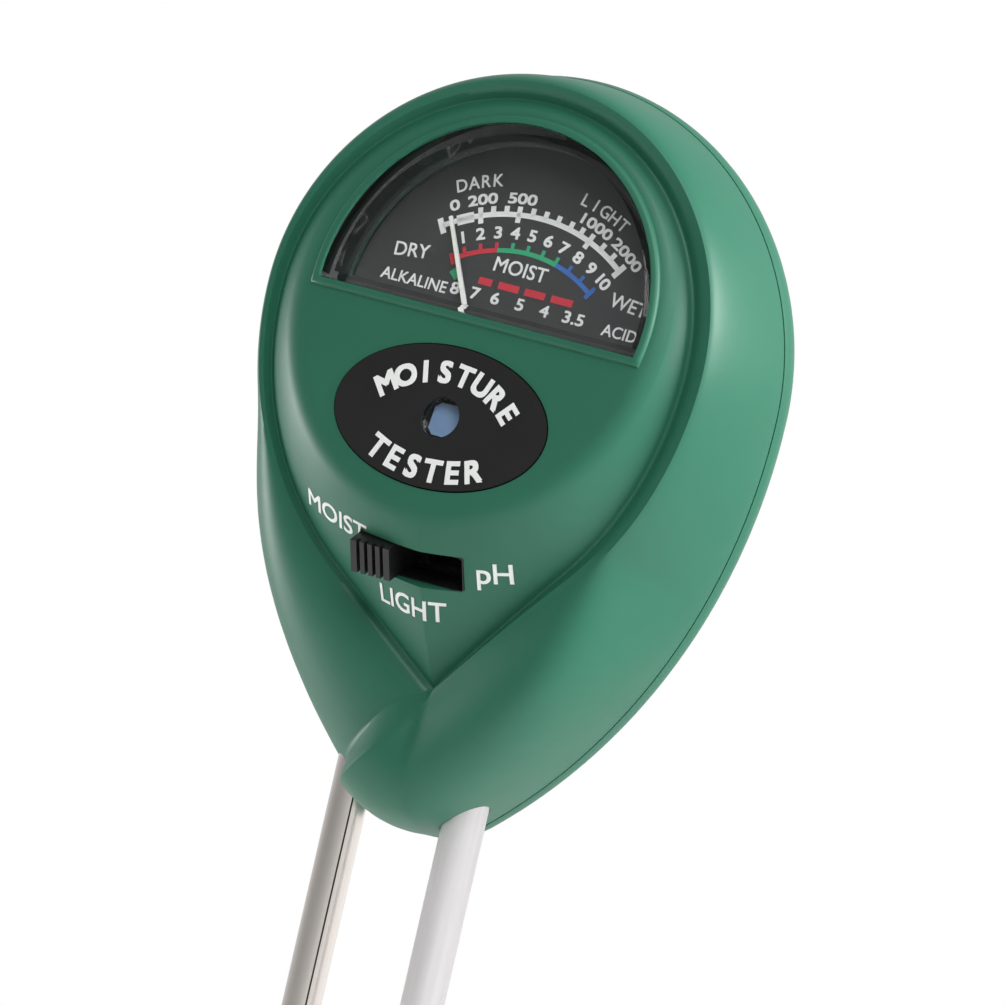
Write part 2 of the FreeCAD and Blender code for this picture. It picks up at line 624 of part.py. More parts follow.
# ---------------------------------------------------------------- mode switch
CAN_HALF_X = 9.4
CAN_HALF_Y = 3.7
CAN_TOP = -4.4
CAN_BOTTOM = -9.2
CAN_SHEET = 0.4
SLIDER_TOP = CAN_TOP - CAN_SHEET - 0.1
SLIDER_BOTTOM = SLIDER_TOP - 1.5
CONTACT_BOTTOM = SLIDER_BOTTOM - 0.6
TERMINAL_X = (-7.5, -2.5, 2.5, 7.5)
TERMINAL_Y = 2.2
TERMINAL_RADIUS = 0.35
BOARD_THICKNESS = 1.2
KNOB_HEIGHT = 1.7
KNOB_RIBS = 5


def switch_can():
    """Folded metal case of the slide switch."""
    can = box(-CAN_HALF_X, CAN_HALF_X, -CAN_HALF_Y, CAN_HALF_Y, CAN_BOTTOM, CAN_TOP)
    inside = box(-CAN_HALF_X + CAN_SHEET, CAN_HALF_X - CAN_SHEET, -CAN_HALF_Y + CAN_SHEET,
                 CAN_HALF_Y - CAN_SHEET, CAN_BOTTOM, CAN_TOP - CAN_SHEET)
    slot = box(-SLOT_LENGTH / 2 - 0.4, SLOT_LENGTH / 2 + 0.4, -2.3, 2.3, CAN_BOTTOM, CAN_TOP)
    return on_switch(can.cut([inside, slot]))


def terminal_pins(radius):
    """Eight round pins in two rows."""
    return [disc(radius, CAN_BOTTOM - BOARD_THICKNESS - 1.0, CONTACT_BOTTOM - 0.1, x, y)
            for x in TERMINAL_X for y in (-TERMINAL_Y, TERMINAL_Y)]


def switch_base():
    """Insulating base pressed into the open side of the case."""
    inner_x = CAN_HALF_X - CAN_SHEET
    inner_y = CAN_HALF_Y - CAN_SHEET
    base = box(-inner_x, inner_x, -inner_y, inner_y, CAN_BOTTOM, CONTACT_BOTTOM - 0.2)
    return on_switch(base.cut(terminal_pins(TERMINAL_RADIUS)))


def switch_terminals():
    """Terminal pins of the switch, soldered through the board."""
    return group([on_switch(pin) for pin in terminal_pins(TERMINAL_RADIUS)])


def at_rest(shape):
    """Moves a slider piece from the middle of the slot to its left-hand stop."""
    shape = shape.copy()
    shape.translate(Vector(-SWITCH_TRAVEL / 2, 0, 0))
    return on_switch(shape)


def switch_knob():
    """Ribbed thumb piece on its slider."""
    half = KNOB_LENGTH / 2
    thumb = box(-half, half, -2.05, 2.05, SLIDER_BOTTOM, KNOB_HEIGHT)
    slider = box(-half - 1.2, half + 1.2, -2.9, 2.9, SLIDER_BOTTOM, SLIDER_TOP)
    knob = join([thumb, slider])
    pitch = KNOB_LENGTH / KNOB_RIBS
    grooves = []
    for i in range(1, KNOB_RIBS):
        x = -half + i * pitch
        grooves.append(box(x - 0.22, x + 0.22, -3.0, 3.0, KNOB_HEIGHT - 0.7, KNOB_HEIGHT + 1))
    return at_rest(knob.cut(grooves))


def switch_contact():
    """Bronze bridging clip under the slider."""
    return at_rest(box(-2.9, 2.9, -2.6, 2.6, CONTACT_BOTTOM, SLIDER_BOTTOM))


# ---------------------------------------------------------------- electronics
BOARD_TOP = CAN_BOTTOM
BOARD_BOTTOM = BOARD_TOP - BOARD_THICKNESS
RESISTOR_PLACES = ((-8.0, -9.4), (0.0, -9.4), (8.0, -9.4))


def circuit_board():
    """Board behind the switch, with clearance holes for the terminals."""
    board = box(-12.5, 12.5, -11.5, 4.2, BOARD_BOTTOM, BOARD_TOP)
    return on_switch(board.cut(terminal_pins(TERMINAL_RADIUS)))


def lying_body(x, y, length, radius):
    """Round component lying on the back of the board, along X."""
    centre = Vector(x - length / 2, y, BOARD_BOTTOM - radius)
    body = Part.makeCylinder(radius, length, centre, X_AXIS)
    return on_switch(body)


def resistors():
    """Three scaling resistors."""
    return group([lying_body(x, y, 5.0, 0.9) for x, y in RESISTOR_PLACES])


def diode():
    """Protection diode."""
    return lying_body(-6.0, -6.0, 4.2, 0.8)


def trimmer():
    """Small round calibration potentiometer."""
    body = disc(2.6, BOARD_BOTTOM - 2.0, BOARD_BOTTOM, 7.0, -5.4)
    slot = box(5.2, 8.8, -5.7, -5.1, BOARD_BOTTOM - 2.0, BOARD_BOTTOM - 1.4)
    return on_switch(body.cut(slot))


# ---------------------------------------------------------------- probes
SLEEVE_LENGTH = 2.0
TUBE_BORE = 1.75
CORE_WIRE_RADIUS = 0.6
CLAMP_LOW = 13.8
CLAMP_HIGH = 19.4
TIP_FLAT = 0.4


def left_probe_tube():
    """Nickel-plated tube, open from end to end."""
    low = PROBE_TIP_LENGTH + SLEEVE_LENGTH - PROBE_LENGTH
    tube = disc(LEFT_PROBE_RADIUS, low, PROBE_NECK_Z, -PROBE_X)
    neck = disc(LEFT_PROBE_RADIUS - PROBE_NECK, PROBE_NECK_Z, PROBE_TOP_Z, -PROBE_X)
    bore = disc(TUBE_BORE, low, PROBE_TOP_Z, -PROBE_X)
    return join([tube, neck]).cut(bore)


def left_probe_sleeve():
    """Insulating sleeve between the tube and its tip."""
    low = PROBE_TIP_LENGTH - PROBE_LENGTH
    collar = disc(LEFT_PROBE_RADIUS, low, low + SLEEVE_LENGTH, -PROBE_X)
    plug = disc(TUBE_BORE, low + SLEEVE_LENGTH, low + SLEEVE_LENGTH + 8.0, -PROBE_X)
    return join([collar, plug]).cut(disc(CORE_WIRE_RADIUS, low, low + 20.0, -PROBE_X))


def cone_tip(radius, x):
    """Blunt cone at the lower end of a probe."""
    return Part.makeCone(TIP_FLAT, radius, PROBE_TIP_LENGTH, Vector(x, 0, -PROBE_LENGTH), Z_AXIS)


def left_probe_tip():
    """Pointed electrode with its inner lead up through the tube."""
    low = PROBE_TIP_LENGTH - PROBE_LENGTH
    lead = disc(CORE_WIRE_RADIUS, low, PROBE_TOP_Z + 3.0, -PROBE_X)
    return join([cone_tip(LEFT_PROBE_RADIUS, -PROBE_X), lead])


def right_probe_rod():
    """Solid aluminium probe with a conical point."""
    low = PROBE_TIP_LENGTH - PROBE_LENGTH
    rod = disc(RIGHT_PROBE_RADIUS, low, PROBE_NECK_Z, PROBE_X)
    neck = disc(RIGHT_PROBE_RADIUS - PROBE_NECK, PROBE_NECK_Z, PROBE_TOP_Z, PROBE_X)
    return join([cone_tip(RIGHT_PROBE_RADIUS, PROBE_X), rod, neck])


def probe_clamp():
    """Moulded block that grips both probes inside the head."""
    block = box(-11.0, 11.0, -2.9, 5.6, CLAMP_LOW, CLAMP_HIGH)
    bores = [disc(LEFT_PROBE_RADIUS - PROBE_NECK, CLAMP_LOW, CLAMP_HIGH, -PROBE_X),
             disc(RIGHT_PROBE_RADIUS - PROBE_NECK, CLAMP_LOW, CLAMP_HIGH, PROBE_X)]
    return block.cut(bores)


def solder_lugs():
    """Tinned rings on the upper ends of the probes."""
    lugs = []
    for x, radius in ((-PROBE_X, LEFT_PROBE_RADIUS), (PROBE_X, RIGHT_PROBE_RADIUS)):
        inner = radius - PROBE_NECK
        eye = disc(inner + 0.7, CLAMP_HIGH, CLAMP_HIGH + 0.5, x)
        tab = box(x - 0.8, x + 0.8, 0, inner + 4.0, CLAMP_HIGH, CLAMP_HIGH + 0.5)
        lugs.append(join([eye, tab]).cut(disc(inner, CLAMP_HIGH, CLAMP_HIGH + 0.5, x)))
    return group(lugs)


def probe_leads():
    """Insulated leads from the solder lugs up behind the board."""
    leads = []
    for side in (-1, 1):
        x = side * PROBE_X
        leads.append(pipe(((x, 4.6, CLAMP_HIGH + 1.2), (x + side * 2.0, 6.4, 24.0),
                           (x + side * 3.0, 8.0, 31.0), (x - side * 1.5, 6.8, 36.0)), 0.6))
    return group(leads)


def movement_leads():
    """Leads from the meter movement down to the board."""
    leads = []
    for side in (-1, 1):
        leads.append(pipe(((side * 14.4, 8.4, 43.0), (side * 16.4, 8.4, 38.5),
                           (side * 15.6, 6.8, 33.0), (side * 13.8, 4.6, 28.0)), 0.6))
    return group(leads)


PARTS = {
    "front_shell": front_shell,
    "rear_cover": rear_cover,
    "cover_screws": cover_screws,
    "window_lens": window_lens,
    "badge_plate": badge_plate,
    "sensor_window": sensor_window,
    "light_sensor": light_sensor,
    "sensor_holder": sensor_holder,
    "dial_plate": dial_plate,
    "dial_screws": dial_screws,
    "movement_base": movement_base,
    "movement_screws": movement_screws,
    "yoke_ring": yoke_ring,
    "core_magnet": core_magnet,
    "core_support": core_support,
    "front_bridge": front_bridge,
    "jewel_bearings": jewel_bearings,
    "zero_adjust_arm": zero_adjust_arm,
    "coil_frame": coil_frame,
    "coil_winding": coil_winding,
    "pivot_pins": pivot_pins,
    "pointer": pointer,
    "balance_weight": balance_weight,
    "front_hairspring": front_hairspring,
    "rear_hairspring": rear_hairspring,
    "switch_can": switch_can,
    "switch_base": switch_base,
    "switch_terminals": switch_terminals,
    "switch_knob": switch_knob,
    "switch_contact": switch_contact,
    "circuit_board": circuit_board,
    "resistors": resistors,
    "diode": diode,
    "trimmer": trimmer,
    "left_probe_tube": left_probe_tube,
    "left_probe_sleeve": left_probe_sleeve,
    "left_probe_tip": left_probe_tip,
    "right_probe_rod": right_probe_rod,
    "probe_clamp": probe_clamp,
    "solder_lugs": solder_lugs,
    "probe_leads": probe_leads,
    "movement_leads": movement_leads,
}

shapes = {node: build() for node, build in PARTS.items()}
whole = Part.makeCompound(list(shapes.values())).optimalBoundingBox()
to_origin = Vector(-whole.Center.x, -whole.Center.y, -whole.ZMin)
print("moved by", to_origin)
os.makedirs("parts", exist_ok=True)
for node, shape in shapes.items():
    shape.translate(to_origin)
    print(node, len(shape.Solids), "solids", round(shape.Volume, 2), "mm3", shape.isValid())
    shape.exportStep("parts/" + node + ".step")
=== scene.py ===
import json
import math

import bmesh
import bpy
from mathutils import Matrix, Vector
from mathutils.bvhtree import BVHTree


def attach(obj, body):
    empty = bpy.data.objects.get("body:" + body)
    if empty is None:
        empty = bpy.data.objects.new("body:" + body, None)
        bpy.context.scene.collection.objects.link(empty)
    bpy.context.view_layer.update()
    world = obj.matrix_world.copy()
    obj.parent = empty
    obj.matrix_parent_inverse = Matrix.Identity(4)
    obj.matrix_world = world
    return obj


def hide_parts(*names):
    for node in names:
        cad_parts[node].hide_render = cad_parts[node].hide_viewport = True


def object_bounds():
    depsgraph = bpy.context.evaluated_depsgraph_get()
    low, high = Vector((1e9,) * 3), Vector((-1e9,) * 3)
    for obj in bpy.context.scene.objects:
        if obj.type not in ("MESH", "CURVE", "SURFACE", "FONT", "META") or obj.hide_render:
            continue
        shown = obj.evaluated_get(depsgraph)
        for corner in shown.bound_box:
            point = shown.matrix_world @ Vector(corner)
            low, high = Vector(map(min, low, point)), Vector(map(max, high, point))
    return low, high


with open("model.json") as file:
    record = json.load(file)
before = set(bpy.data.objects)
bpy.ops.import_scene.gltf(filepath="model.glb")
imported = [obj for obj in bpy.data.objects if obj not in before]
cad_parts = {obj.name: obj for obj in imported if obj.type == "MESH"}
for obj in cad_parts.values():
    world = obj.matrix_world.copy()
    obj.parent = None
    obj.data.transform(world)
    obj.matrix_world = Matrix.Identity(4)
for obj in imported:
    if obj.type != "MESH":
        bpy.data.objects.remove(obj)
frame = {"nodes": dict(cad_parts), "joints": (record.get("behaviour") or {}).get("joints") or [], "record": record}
cad_low, cad_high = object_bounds()

# ---------------------------------------------------------------- frames, in millimetres
MM = 0.001
X_AXIS = Vector((1, 0, 0))
needle_joint = next(j for j in frame["joints"] if j["name"] == "needle_swing")
PIVOT = Vector(needle_joint["pos_m"]) / MM
OUT = -Vector(needle_joint["axis"]).normalized()      # out of the dial face
UP = OUT.cross(X_AXIS)                                # up the dial face
PIVOT_BELOW_CHORD = 6.0
PIVOT_BEHIND_FACE = 5.9
CHORD = PIVOT + UP * PIVOT_BELOW_CHORD + OUT * PIVOT_BEHIND_FACE   # middle of the window's straight edge
HEAD = CHORD - Vector((0, -10.4, 60.0))               # between the probe axes, at the head's lowest point
SWITCH_TILT = math.radians(28.0)
SWITCH = HEAD + Vector((0, -12.6, 31.9))
SWITCH_OUT = Vector((0, -math.cos(SWITCH_TILT), -math.sin(SWITCH_TILT)))
SWITCH_UP = SWITCH_OUT.cross(X_AXIS)


def basis(origin, up, out):
    """Matrix from a local frame in millimetres to the object's frame in metres."""
    turn = Matrix((X_AXIS, up, out)).transposed().to_4x4()
    return Matrix.Translation(origin * MM) @ turn @ Matrix.Scale(MM, 4)


ON_FACE = basis(CHORD, UP, OUT)
ON_SWITCH = basis(SWITCH, SWITCH_UP, SWITCH_OUT)
ON_HEAD = Matrix.Translation(HEAD * MM) @ Matrix.Scale(MM, 4)

# ---------------------------------------------------------------- sizes of the head
EGG_TOP_RADIUS = 33.0
EGG_TIP_RADIUS = 12.0
HEAD_HEIGHT = 90.0
POLE_Z = HEAD_HEIGHT - EGG_TOP_RADIUS                 # every outline is seen from this point
TIP_DROP = POLE_Z - EGG_TIP_RADIUS
TAPER = EGG_TOP_RADIUS - EGG_TIP_RADIUS
FLANK_OFFSET = (TIP_DROP ** 2 - TAPER ** 2) / (2 * TAPER)
SEAM_Y = 5.5
SEAM_INSET = 0.5
WALL = 2.0
DROP_RADIUS = 26.8                                    # teardrop groove round the panel
DROP_CENTRE = (-0.6, 59.4)
DROP_FLANK_RADIUS = 37.8
DROP_TIP = (2.9, 18.0)
OVAL_HALF_WIDTH = 23.0
OVAL_HALF_HEIGHT = 24.1
OVAL_CENTRE = 1.2
WINDOW_RADIUS = 21.2
WINDOW_CENTRE = 3.0
WINDOW_CHORD = 0.9
BADGE_SIZE = (27.7, 16.8)
BADGE_CENTRE = -11.4
BADGE_CLEARANCE = 0.3
BADGE_RECESS_FLOOR = -0.8
SENSOR_HOLE = 5.6
SLOT_SIZE = (14.0, 4.5)
SLOT_CORNER = 0.4
CUTTER_FRONT = 3.0                                    # how far the cutters stand in front of the surface
PROBE_X = 7.7
LEFT_HOLE_RADIUS = 2.3
RIGHT_HOLE_RADIUS = 2.6
DIAL_FACE = -7.2
SHARP_ANGLE = math.radians(35)                        # edges sharper than this stay hard

# ---------------------------------------------------------------- mesh helpers


def finish_mesh(bm, name, material):
    """Turns a bmesh into a smooth-shaded object whose hard edges stay hard."""
    bmesh.ops.recalc_face_normals(bm, faces=bm.faces[:])
    mesh = bpy.data.meshes.new(name)
    bm.to_mesh(mesh)
    bm.free()
    for polygon in mesh.polygons:
        polygon.use_smooth = True
    mesh.set_sharp_from_angle(angle=SHARP_ANGLE)
    mesh.materials.append(material)
    piece = bpy.data.objects.new(name, mesh)
    bpy.context.scene.collection.objects.link(piece)
    return piece


def add_rings(bm, rings):
    """Skins a list of equally long closed loops; returns the loops as vertices."""
    loops = [[bm.verts.new(p) for p in ring] for ring in rings]
    for low, high in zip(loops[:-1], loops[1:]):
        count = len(low)
        for i in range(count):
            j = (i + 1) % count
            bm.faces.new((low[i], low[j], high[j], high[i]))
    return loops


def prism(outline, place, z0, z1):
    """Closed prism on a local outline of (x, y) points."""
    bm = bmesh.new()
    loops = add_rings(bm, [[place @ Vector((x, y, z)) for x, y in outline] for z in (z0, z1)])
    bm.faces.new(loops[0])
    bm.faces.new(loops[1])
    bmesh.ops.recalc_face_normals(bm, faces=bm.faces[:])
    return bm


def oval(width, height, centre_y, steps=96):
    """Points of an ellipse."""
    return [(width / 2 * math.cos(2 * math.pi * i / steps),
             centre_y + height / 2 * math.sin(2 * math.pi * i / steps)) for i in range(steps)]


def window_outline(grow, steps=96, chord_steps=24):
    """Points of the D: a circular arc closed by a straight chord, grown outwards."""
    radius = WINDOW_RADIUS + grow
    base = WINDOW_CHORD - grow
    half = math.sqrt(radius ** 2 - (WINDOW_CENTRE - base) ** 2)
    start = math.atan2(base - WINDOW_CENTRE, half)
    end = math.pi - start
    turns = [start + (end - start) * i / steps for i in range(steps + 1)]
    arc = [(radius * math.cos(turn), WINDOW_CENTRE + radius * math.sin(turn)) for turn in turns]
    chord = [(-half + 2 * half * i / chord_steps, base) for i in range(1, chord_steps)]
    return arc + chord


def rounded_box(width, height, radius, steps=6):
    """Points of a rectangle with round corners."""
    points = []
    for quarter, (sx, sy) in enumerate(((1, 1), (-1, 1), (-1, -1), (1, -1))):
        for i in range(steps + 1):
            angle = math.pi / 2 * (quarter + i / steps)
            points.append((sx * (width / 2 - radius) + radius * math.cos(angle),
                           sy * (height / 2 - radius) + radius * math.sin(angle)))
    return points


def as_object(bm, name):
    """Puts a bmesh into the scene as a bare object."""
    mesh = bpy.data.meshes.new(name)
    bm.to_mesh(mesh)
    bm.free()
    tool = bpy.data.objects.new(name, mesh)
    bpy.context.scene.collection.objects.link(tool)
    return tool


def carve(piece, bm, operation="DIFFERENCE"):
    """Cuts a closed form out of a piece, or joins it on, for good."""
    tool = as_object(bm, "tool")
    modifier = piece.modifiers.new("carve", "BOOLEAN")
    modifier.operation = operation
    modifier.solver = "EXACT"
    modifier.object = tool
    bpy.context.view_layer.update()
    graph = bpy.context.evaluated_depsgraph_get()
    mesh = bpy.data.meshes.new_from_object(piece.evaluated_get(graph))
    piece.modifiers.clear()
    piece.data = mesh
    bpy.data.objects.remove(tool)


# ---------------------------------------------------------------- outlines seen from the pole


def circle_reach(dx, dz, cx, cz, radius):
    """Distance from the pole to the far side of a circle, along a direction."""
    along = cx * dx + cz * dz
    return along + math.sqrt(along ** 2 - cx ** 2 - cz ** 2 + radius ** 2)


def egg_reach(angle, inset):
    """Egg outline; angle 0 points down to the tip and grows towards +X."""
    dx, dz = math.sin(angle), -math.cos(angle)
    if dz >= 0:
        return EGG_TOP_RADIUS - inset
    tip = EGG_TIP_RADIUS - inset
    lean = math.atan2(TIP_DROP, FLANK_OFFSET)
    if abs(dx) * (TIP_DROP + tip * math.sin(lean)) < -dz * tip * math.cos(lean):
        return circle_reach(dx, dz, 0, -TIP_DROP, tip)
    side = -math.copysign(FLANK_OFFSET, dx)
    return circle_reach(dx, dz, side, 0, FLANK_OFFSET + EGG_TOP_RADIUS - inset)


def flank_reach(angle, cx, cz, radius, side, tip):
    """Distance to one flank of the teardrop: an arc, then the straight line from it to the tip."""
    dx, dz = math.sin(angle), -math.cos(angle)
    vx, vz = tip[0] - cx, tip[1] - cz
    spread = math.acos(radius / math.hypot(vx, vz))
    turn = math.atan2(vz, vx) + side * spread
    nx, nz = math.cos(turn), math.sin(turn)
    touch = math.atan2(cx + radius * nx, -cz - radius * nz)
    if side * angle > side * touch:
        return circle_reach(dx, dz, cx, cz, radius)
    facing = nx * dx + nz * dz
    return (nx * tip[0] + nz * tip[1]) / facing if facing > 1e-6 else math.inf


def drop_reach(angle, grow):
    """Teardrop outline of the groove round the panel."""
    dx, dz = math.sin(angle), -math.cos(angle)
    middle, rise = DROP_CENTRE[0], DROP_CENTRE[1] - POLE_Z
    top = circle_reach(dx, dz, middle, rise, DROP_RADIUS + grow)
    if top * dz >= rise:
        return top
    shift = DROP_FLANK_RADIUS - DROP_RADIUS
    tip = (DROP_TIP[0], DROP_TIP[1] - POLE_Z - 1.25 * grow)
    return min(flank_reach(angle, middle - side * shift, rise, DROP_FLANK_RADIUS + grow, side, tip)
               for side in (1, -1))


def oval_reach(angle, grow):
    """Edge of the flat plateau, seen square on."""
    dx, dz = math.sin(angle), -math.cos(angle)
    lean = UP.z
    a = OVAL_HALF_WIDTH + grow
    b = (OVAL_HALF_HEIGHT + grow) * lean
    cz = (CHORD - HEAD).z + OVAL_CENTRE * lean - POLE_Z
    qa = (dx / a) ** 2 + (dz / b) ** 2
    qb = -dz * cz / b ** 2
    qc = (cz / b) ** 2 - 1
    return (-qb + math.sqrt(qb ** 2 - qa * qc)) / qa


def face_y(z):
    """Depth of the plateau plane at a height above the head's lowest point."""
    origin = CHORD - HEAD
    return origin.y + (z - origin.z) * UP.y / UP.z


GROOVE_FRONT_Z = 42.0
GROOVE_FRONT_Y = -7.6
GROOVE_TOP_BEND = 0.00270
GROOVE_TIP_BEND = 0.0038


def groove_y(z):
    """Depth of the groove round the panel: furthest forward near the plateau's lower edge."""
    bend = GROOVE_TOP_BEND if z > GROOVE_FRONT_Z else GROOVE_TIP_BEND
    return GROOVE_FRONT_Y + bend * (z - GROOVE_FRONT_Z) ** 2


# ---------------------------------------------------------------- front shell
CREST_HEIGHT = 1.15
BAND_STEPS = 22
PANEL_STEPS = 12
CORNER_STEPS = 5
EDGE_ROUND = 1.7
# Handles of the band's curve: outwards and backwards from the crest, forwards from the seam.
SIDE_BAND = (1.2, 0.9, 4.0)
LEFT_CHIN = (5.0, -1.2, 11.0)
RIGHT_CHIN = (11.4, -4.7, 15.0)
LEFT_CREST_DROP = 0.25
RIGHT_CREST_RISE = 0.75


def mix(a, b, t):
    """Point part of the way from a to b."""
    return (a[0] + (b[0] - a[0]) * t, a[1] + (b[1] - a[1]) * t)


def corner(a, b, c):
    """Inner points of a curve that rounds the corner at b."""
    points = []
    for i in range(1, CORNER_STEPS):
        t = i / CORNER_STEPS
        points.append(mix(mix(a, b, t), mix(b, c, t), t))
    return points


def smooth_step(t):
    """0 below 0, 1 above 1 and a smooth rise between."""
    t = max(0.0, min(1.0, t))
    return t * t * (3 - 2 * t)


def bezier(a, b, c, d, t):
    """Point on a cubic curve."""
    low, high = mix(mix(a, b, t), mix(b, c, t), t), mix(mix(b, c, t), mix(c, d, t), t)
    return mix(low, high, t)


def chin_share(angle, right):
    """How far the band has turned from its side form into its chin form, 0 to 1."""
    if right:
        return smooth_step((math.cos(angle) - 0.6) / 0.37)
    return smooth_step((math.cos(angle) - 0.35) / 0.6)


def profile(angle, wall, right):
    """Cross-section from the seam to the pole as (distance from the pole, depth)."""
    share = chin_share(angle, right)
    width = 2.3 + 0.7 * math.sin(angle) - 0.35 * (1 + math.cos(angle))
    rise = CREST_HEIGHT + share * (RIGHT_CREST_RISE if right else -LEFT_CREST_DROP)
    valley_r = drop_reach(angle, -0.8 * wall)
    valley = (valley_r, groove_y(POLE_Z - valley_r * math.cos(angle)) + wall)
    crest = (valley_r + width, valley[1] - rise)
    strip = (crest[0] - 0.45 * width, crest[1] + 0.12)
    seam_r = egg_reach(angle, SEAM_INSET + wall)
    chin = RIGHT_CHIN if right else LEFT_CHIN
    out, back, forward = (side + (tip - side) * share for side, tip in zip(SIDE_BAND, chin))
    band = []
    for i in range(BAND_STEPS + 1):
        band.append(bezier((seam_r, SEAM_Y), (seam_r, SEAM_Y - forward),
                           (crest[0] + out, crest[1] + back), crest, i / BAND_STEPS))
    edge_r = oval_reach(angle, -0.8 * wall)
    edge = (edge_r, face_y(POLE_Z - edge_r * math.cos(angle)) + wall)
    length = math.hypot(edge[0] - valley[0], edge[1] - valley[1])
    bulge = 0.25 + 0.035 * length

    def panel(t):
        r, y = mix(valley, edge, t)
        return (r, y - bulge * 4 * t * (1 - t))

    start = min(0.2, 0.35 / length)
    end = 1 - min(0.4, EDGE_ROUND / length)
    inner_r = edge_r - EDGE_ROUND
    inner = (inner_r, face_y(POLE_Z - inner_r * math.cos(angle)) + wall)
    slope = mix(strip, valley, 0.8)
    points = band + [mix(crest, strip, 0.5), strip]
    points += [mix(strip, valley, 0.4), slope]
    points += corner(slope, valley, panel(start))
    points += [panel(start + (end - start) * i / PANEL_STEPS) for i in range(PANEL_STEPS + 1)]
    points += corner(panel(end), edge, inner) + [inner]
    points += [mix(inner, (0.0, face_y(POLE_Z) + wall), t) for t in (0.25, 0.5, 0.75)]
    return points


LAP_START = 4.8                                       # degrees from straight down, at the groove's tip
LAP_SWEEP = 0.88                                      # degrees to the left per millimetre further out
LAP_REACH = 39.2
LAP_WIDTH = 1.4


def lap_share(angle, reach):
    """0 on the left-hand band, 1 on the right-hand band that laps over it at the chin."""
    edge = math.radians(LAP_START - LAP_SWEEP * (reach - LAP_REACH))
    return smooth_step(0.5 + (angle - edge) * reach / LAP_WIDTH)


LAP_HOLD = math.radians(6.0)
LAP_FADE = math.radians(40.0)


def section(angle, wall):
    """One column of the mesh as (distance, depth, angle); at the chin the columns follow the lap."""
    hold = 1 - smooth_step((abs(angle - math.radians(LAP_START)) - LAP_HOLD) / LAP_FADE)
    points = []
    for j, (left, right) in enumerate(zip(profile(angle, wall, False), profile(angle, wall, True))):
        reach = (left[0] + right[0]) / 2
        slanted = angle - hold * math.radians(LAP_SWEEP) * max(0.0, reach - LAP_REACH)
        if slanted != angle:
            left = profile(slanted, wall, False)[j]
            right = profile(slanted, wall, True)[j]
        points.append((*mix(left, right, lap_share(slanted, reach)), slanted))
    return points


CHIN_STEPS = 100
REST_STEPS = 250
CHIN_LEFT = math.radians(-26)
CHIN_RIGHT = math.radians(9)


def shell_angles():
    """Angles of the cross-sections: close together over the chin, one of them at the groove's tip."""
    tip = math.atan2(DROP_TIP[0], POLE_Z - DROP_TIP[1])
    span = CHIN_RIGHT - CHIN_LEFT
    rest = 2 * math.pi - span
    angles = [tip + CHIN_LEFT + span * i / CHIN_STEPS for i in range(CHIN_STEPS)]
    angles += [tip + CHIN_RIGHT + rest * i / REST_STEPS for i in range(REST_STEPS)]
    nearest = min(range(len(angles)), key=lambda i: abs(angles[i] - tip))
    angles[nearest] = tip
    return [a - 2 * math.pi if a > math.pi else a for a in angles]


def skin(bm, wall):
    """One side of the shell wall, from the seam to the pole; returns its seam loop."""
    angles = shell_angles()
    sections = [section(a, wall) for a in angles]
    rings = []
    for j in range(len(sections[0])):
        ring = []
        for points in sections:
            r, y, angle = points[j]
            ring.append(ON_HEAD @ Vector((r * math.sin(angle), y, POLE_Z - r * math.cos(angle))))
        rings.append(ring)
    loops = add_rings(bm, rings)
    pole = bm.verts.new(ON_HEAD @ Vector((0, face_y(POLE_Z) + wall, POLE_Z)))
    for i in range(len(angles)):
        bm.faces.new((loops[-1][i], loops[-1][(i + 1) % len(angles)], pole))
    return loops[0]


def front_shell(material):
    """Front half of the head: band, groove, panel, plateau, openings and window lip."""
    bm = bmesh.new()
    outer = skin(bm, 0.0)
    inner = skin(bm, WALL)
    for i in range(len(outer)):
        j = (i + 1) % len(outer)
        bm.faces.new((outer[i], outer[j], inner[j], inner[i]))
    piece = finish_mesh(bm, "front_shell_skin", material)
    carve(piece, window_lip(), "UNION")
    recess = (side + BADGE_CLEARANCE for side in BADGE_SIZE)
    carve(piece, prism(window_outline(0.0), ON_FACE, -9.0, CUTTER_FRONT))
    carve(piece, prism(oval(*recess, BADGE_CENTRE), ON_FACE, BADGE_RECESS_FLOOR, CUTTER_FRONT))
    carve(piece, prism(oval(SENSOR_HOLE, SENSOR_HOLE, BADGE_CENTRE, 48), ON_FACE, -4.0, 1.0))
    carve(piece, prism(rounded_box(*SLOT_SIZE, SLOT_CORNER), ON_SWITCH, -6.0, CUTTER_FRONT + 1.0))
    for x, radius in ((-PROBE_X, LEFT_HOLE_RADIUS), (PROBE_X, RIGHT_HOLE_RADIUS)):
        circle = [(x + px, py) for px, py in oval(2 * radius, 2 * radius, 0.0, 64)]
        carve(piece, prism(circle, ON_HEAD, -4.0, 12.0))
    for polygon in piece.data.polygons:
        polygon.use_smooth = True
    piece.data.set_sharp_from_angle(angle=SHARP_ANGLE)
    return piece


# Points of the lip's section: distance outwards from the opening, height above the plateau.
LIP_SECTION = ((-0.3, -1.2), (-0.3, 0.42), (0.55, 0.42), (0.8, 0.3), (0.95, 0.05), (1.0, -0.3), (1.0, -1.2))


def window_lip():
    """Thin rounded rim that stands up round the window opening."""
    bm = bmesh.new()
    rings = [[ON_FACE @ Vector((x, y, z)) for x, y in window_outline(grow)] for grow, z in LIP_SECTION]
    loops = add_rings(bm, rings + [rings[0]])
    bmesh.ops.remove_doubles(bm, verts=bm.verts[:], dist=1e-7)
    bmesh.ops.recalc_face_normals(bm, faces=bm.faces[:])
    return bm


# ---------------------------------------------------------------- materials


GRAIN_DEPTH = 0.00001                                 # metres, as are the other bump depths
STREAK_DEPTH = 0.000006
STREAKS_PER_METRE = 1500.0


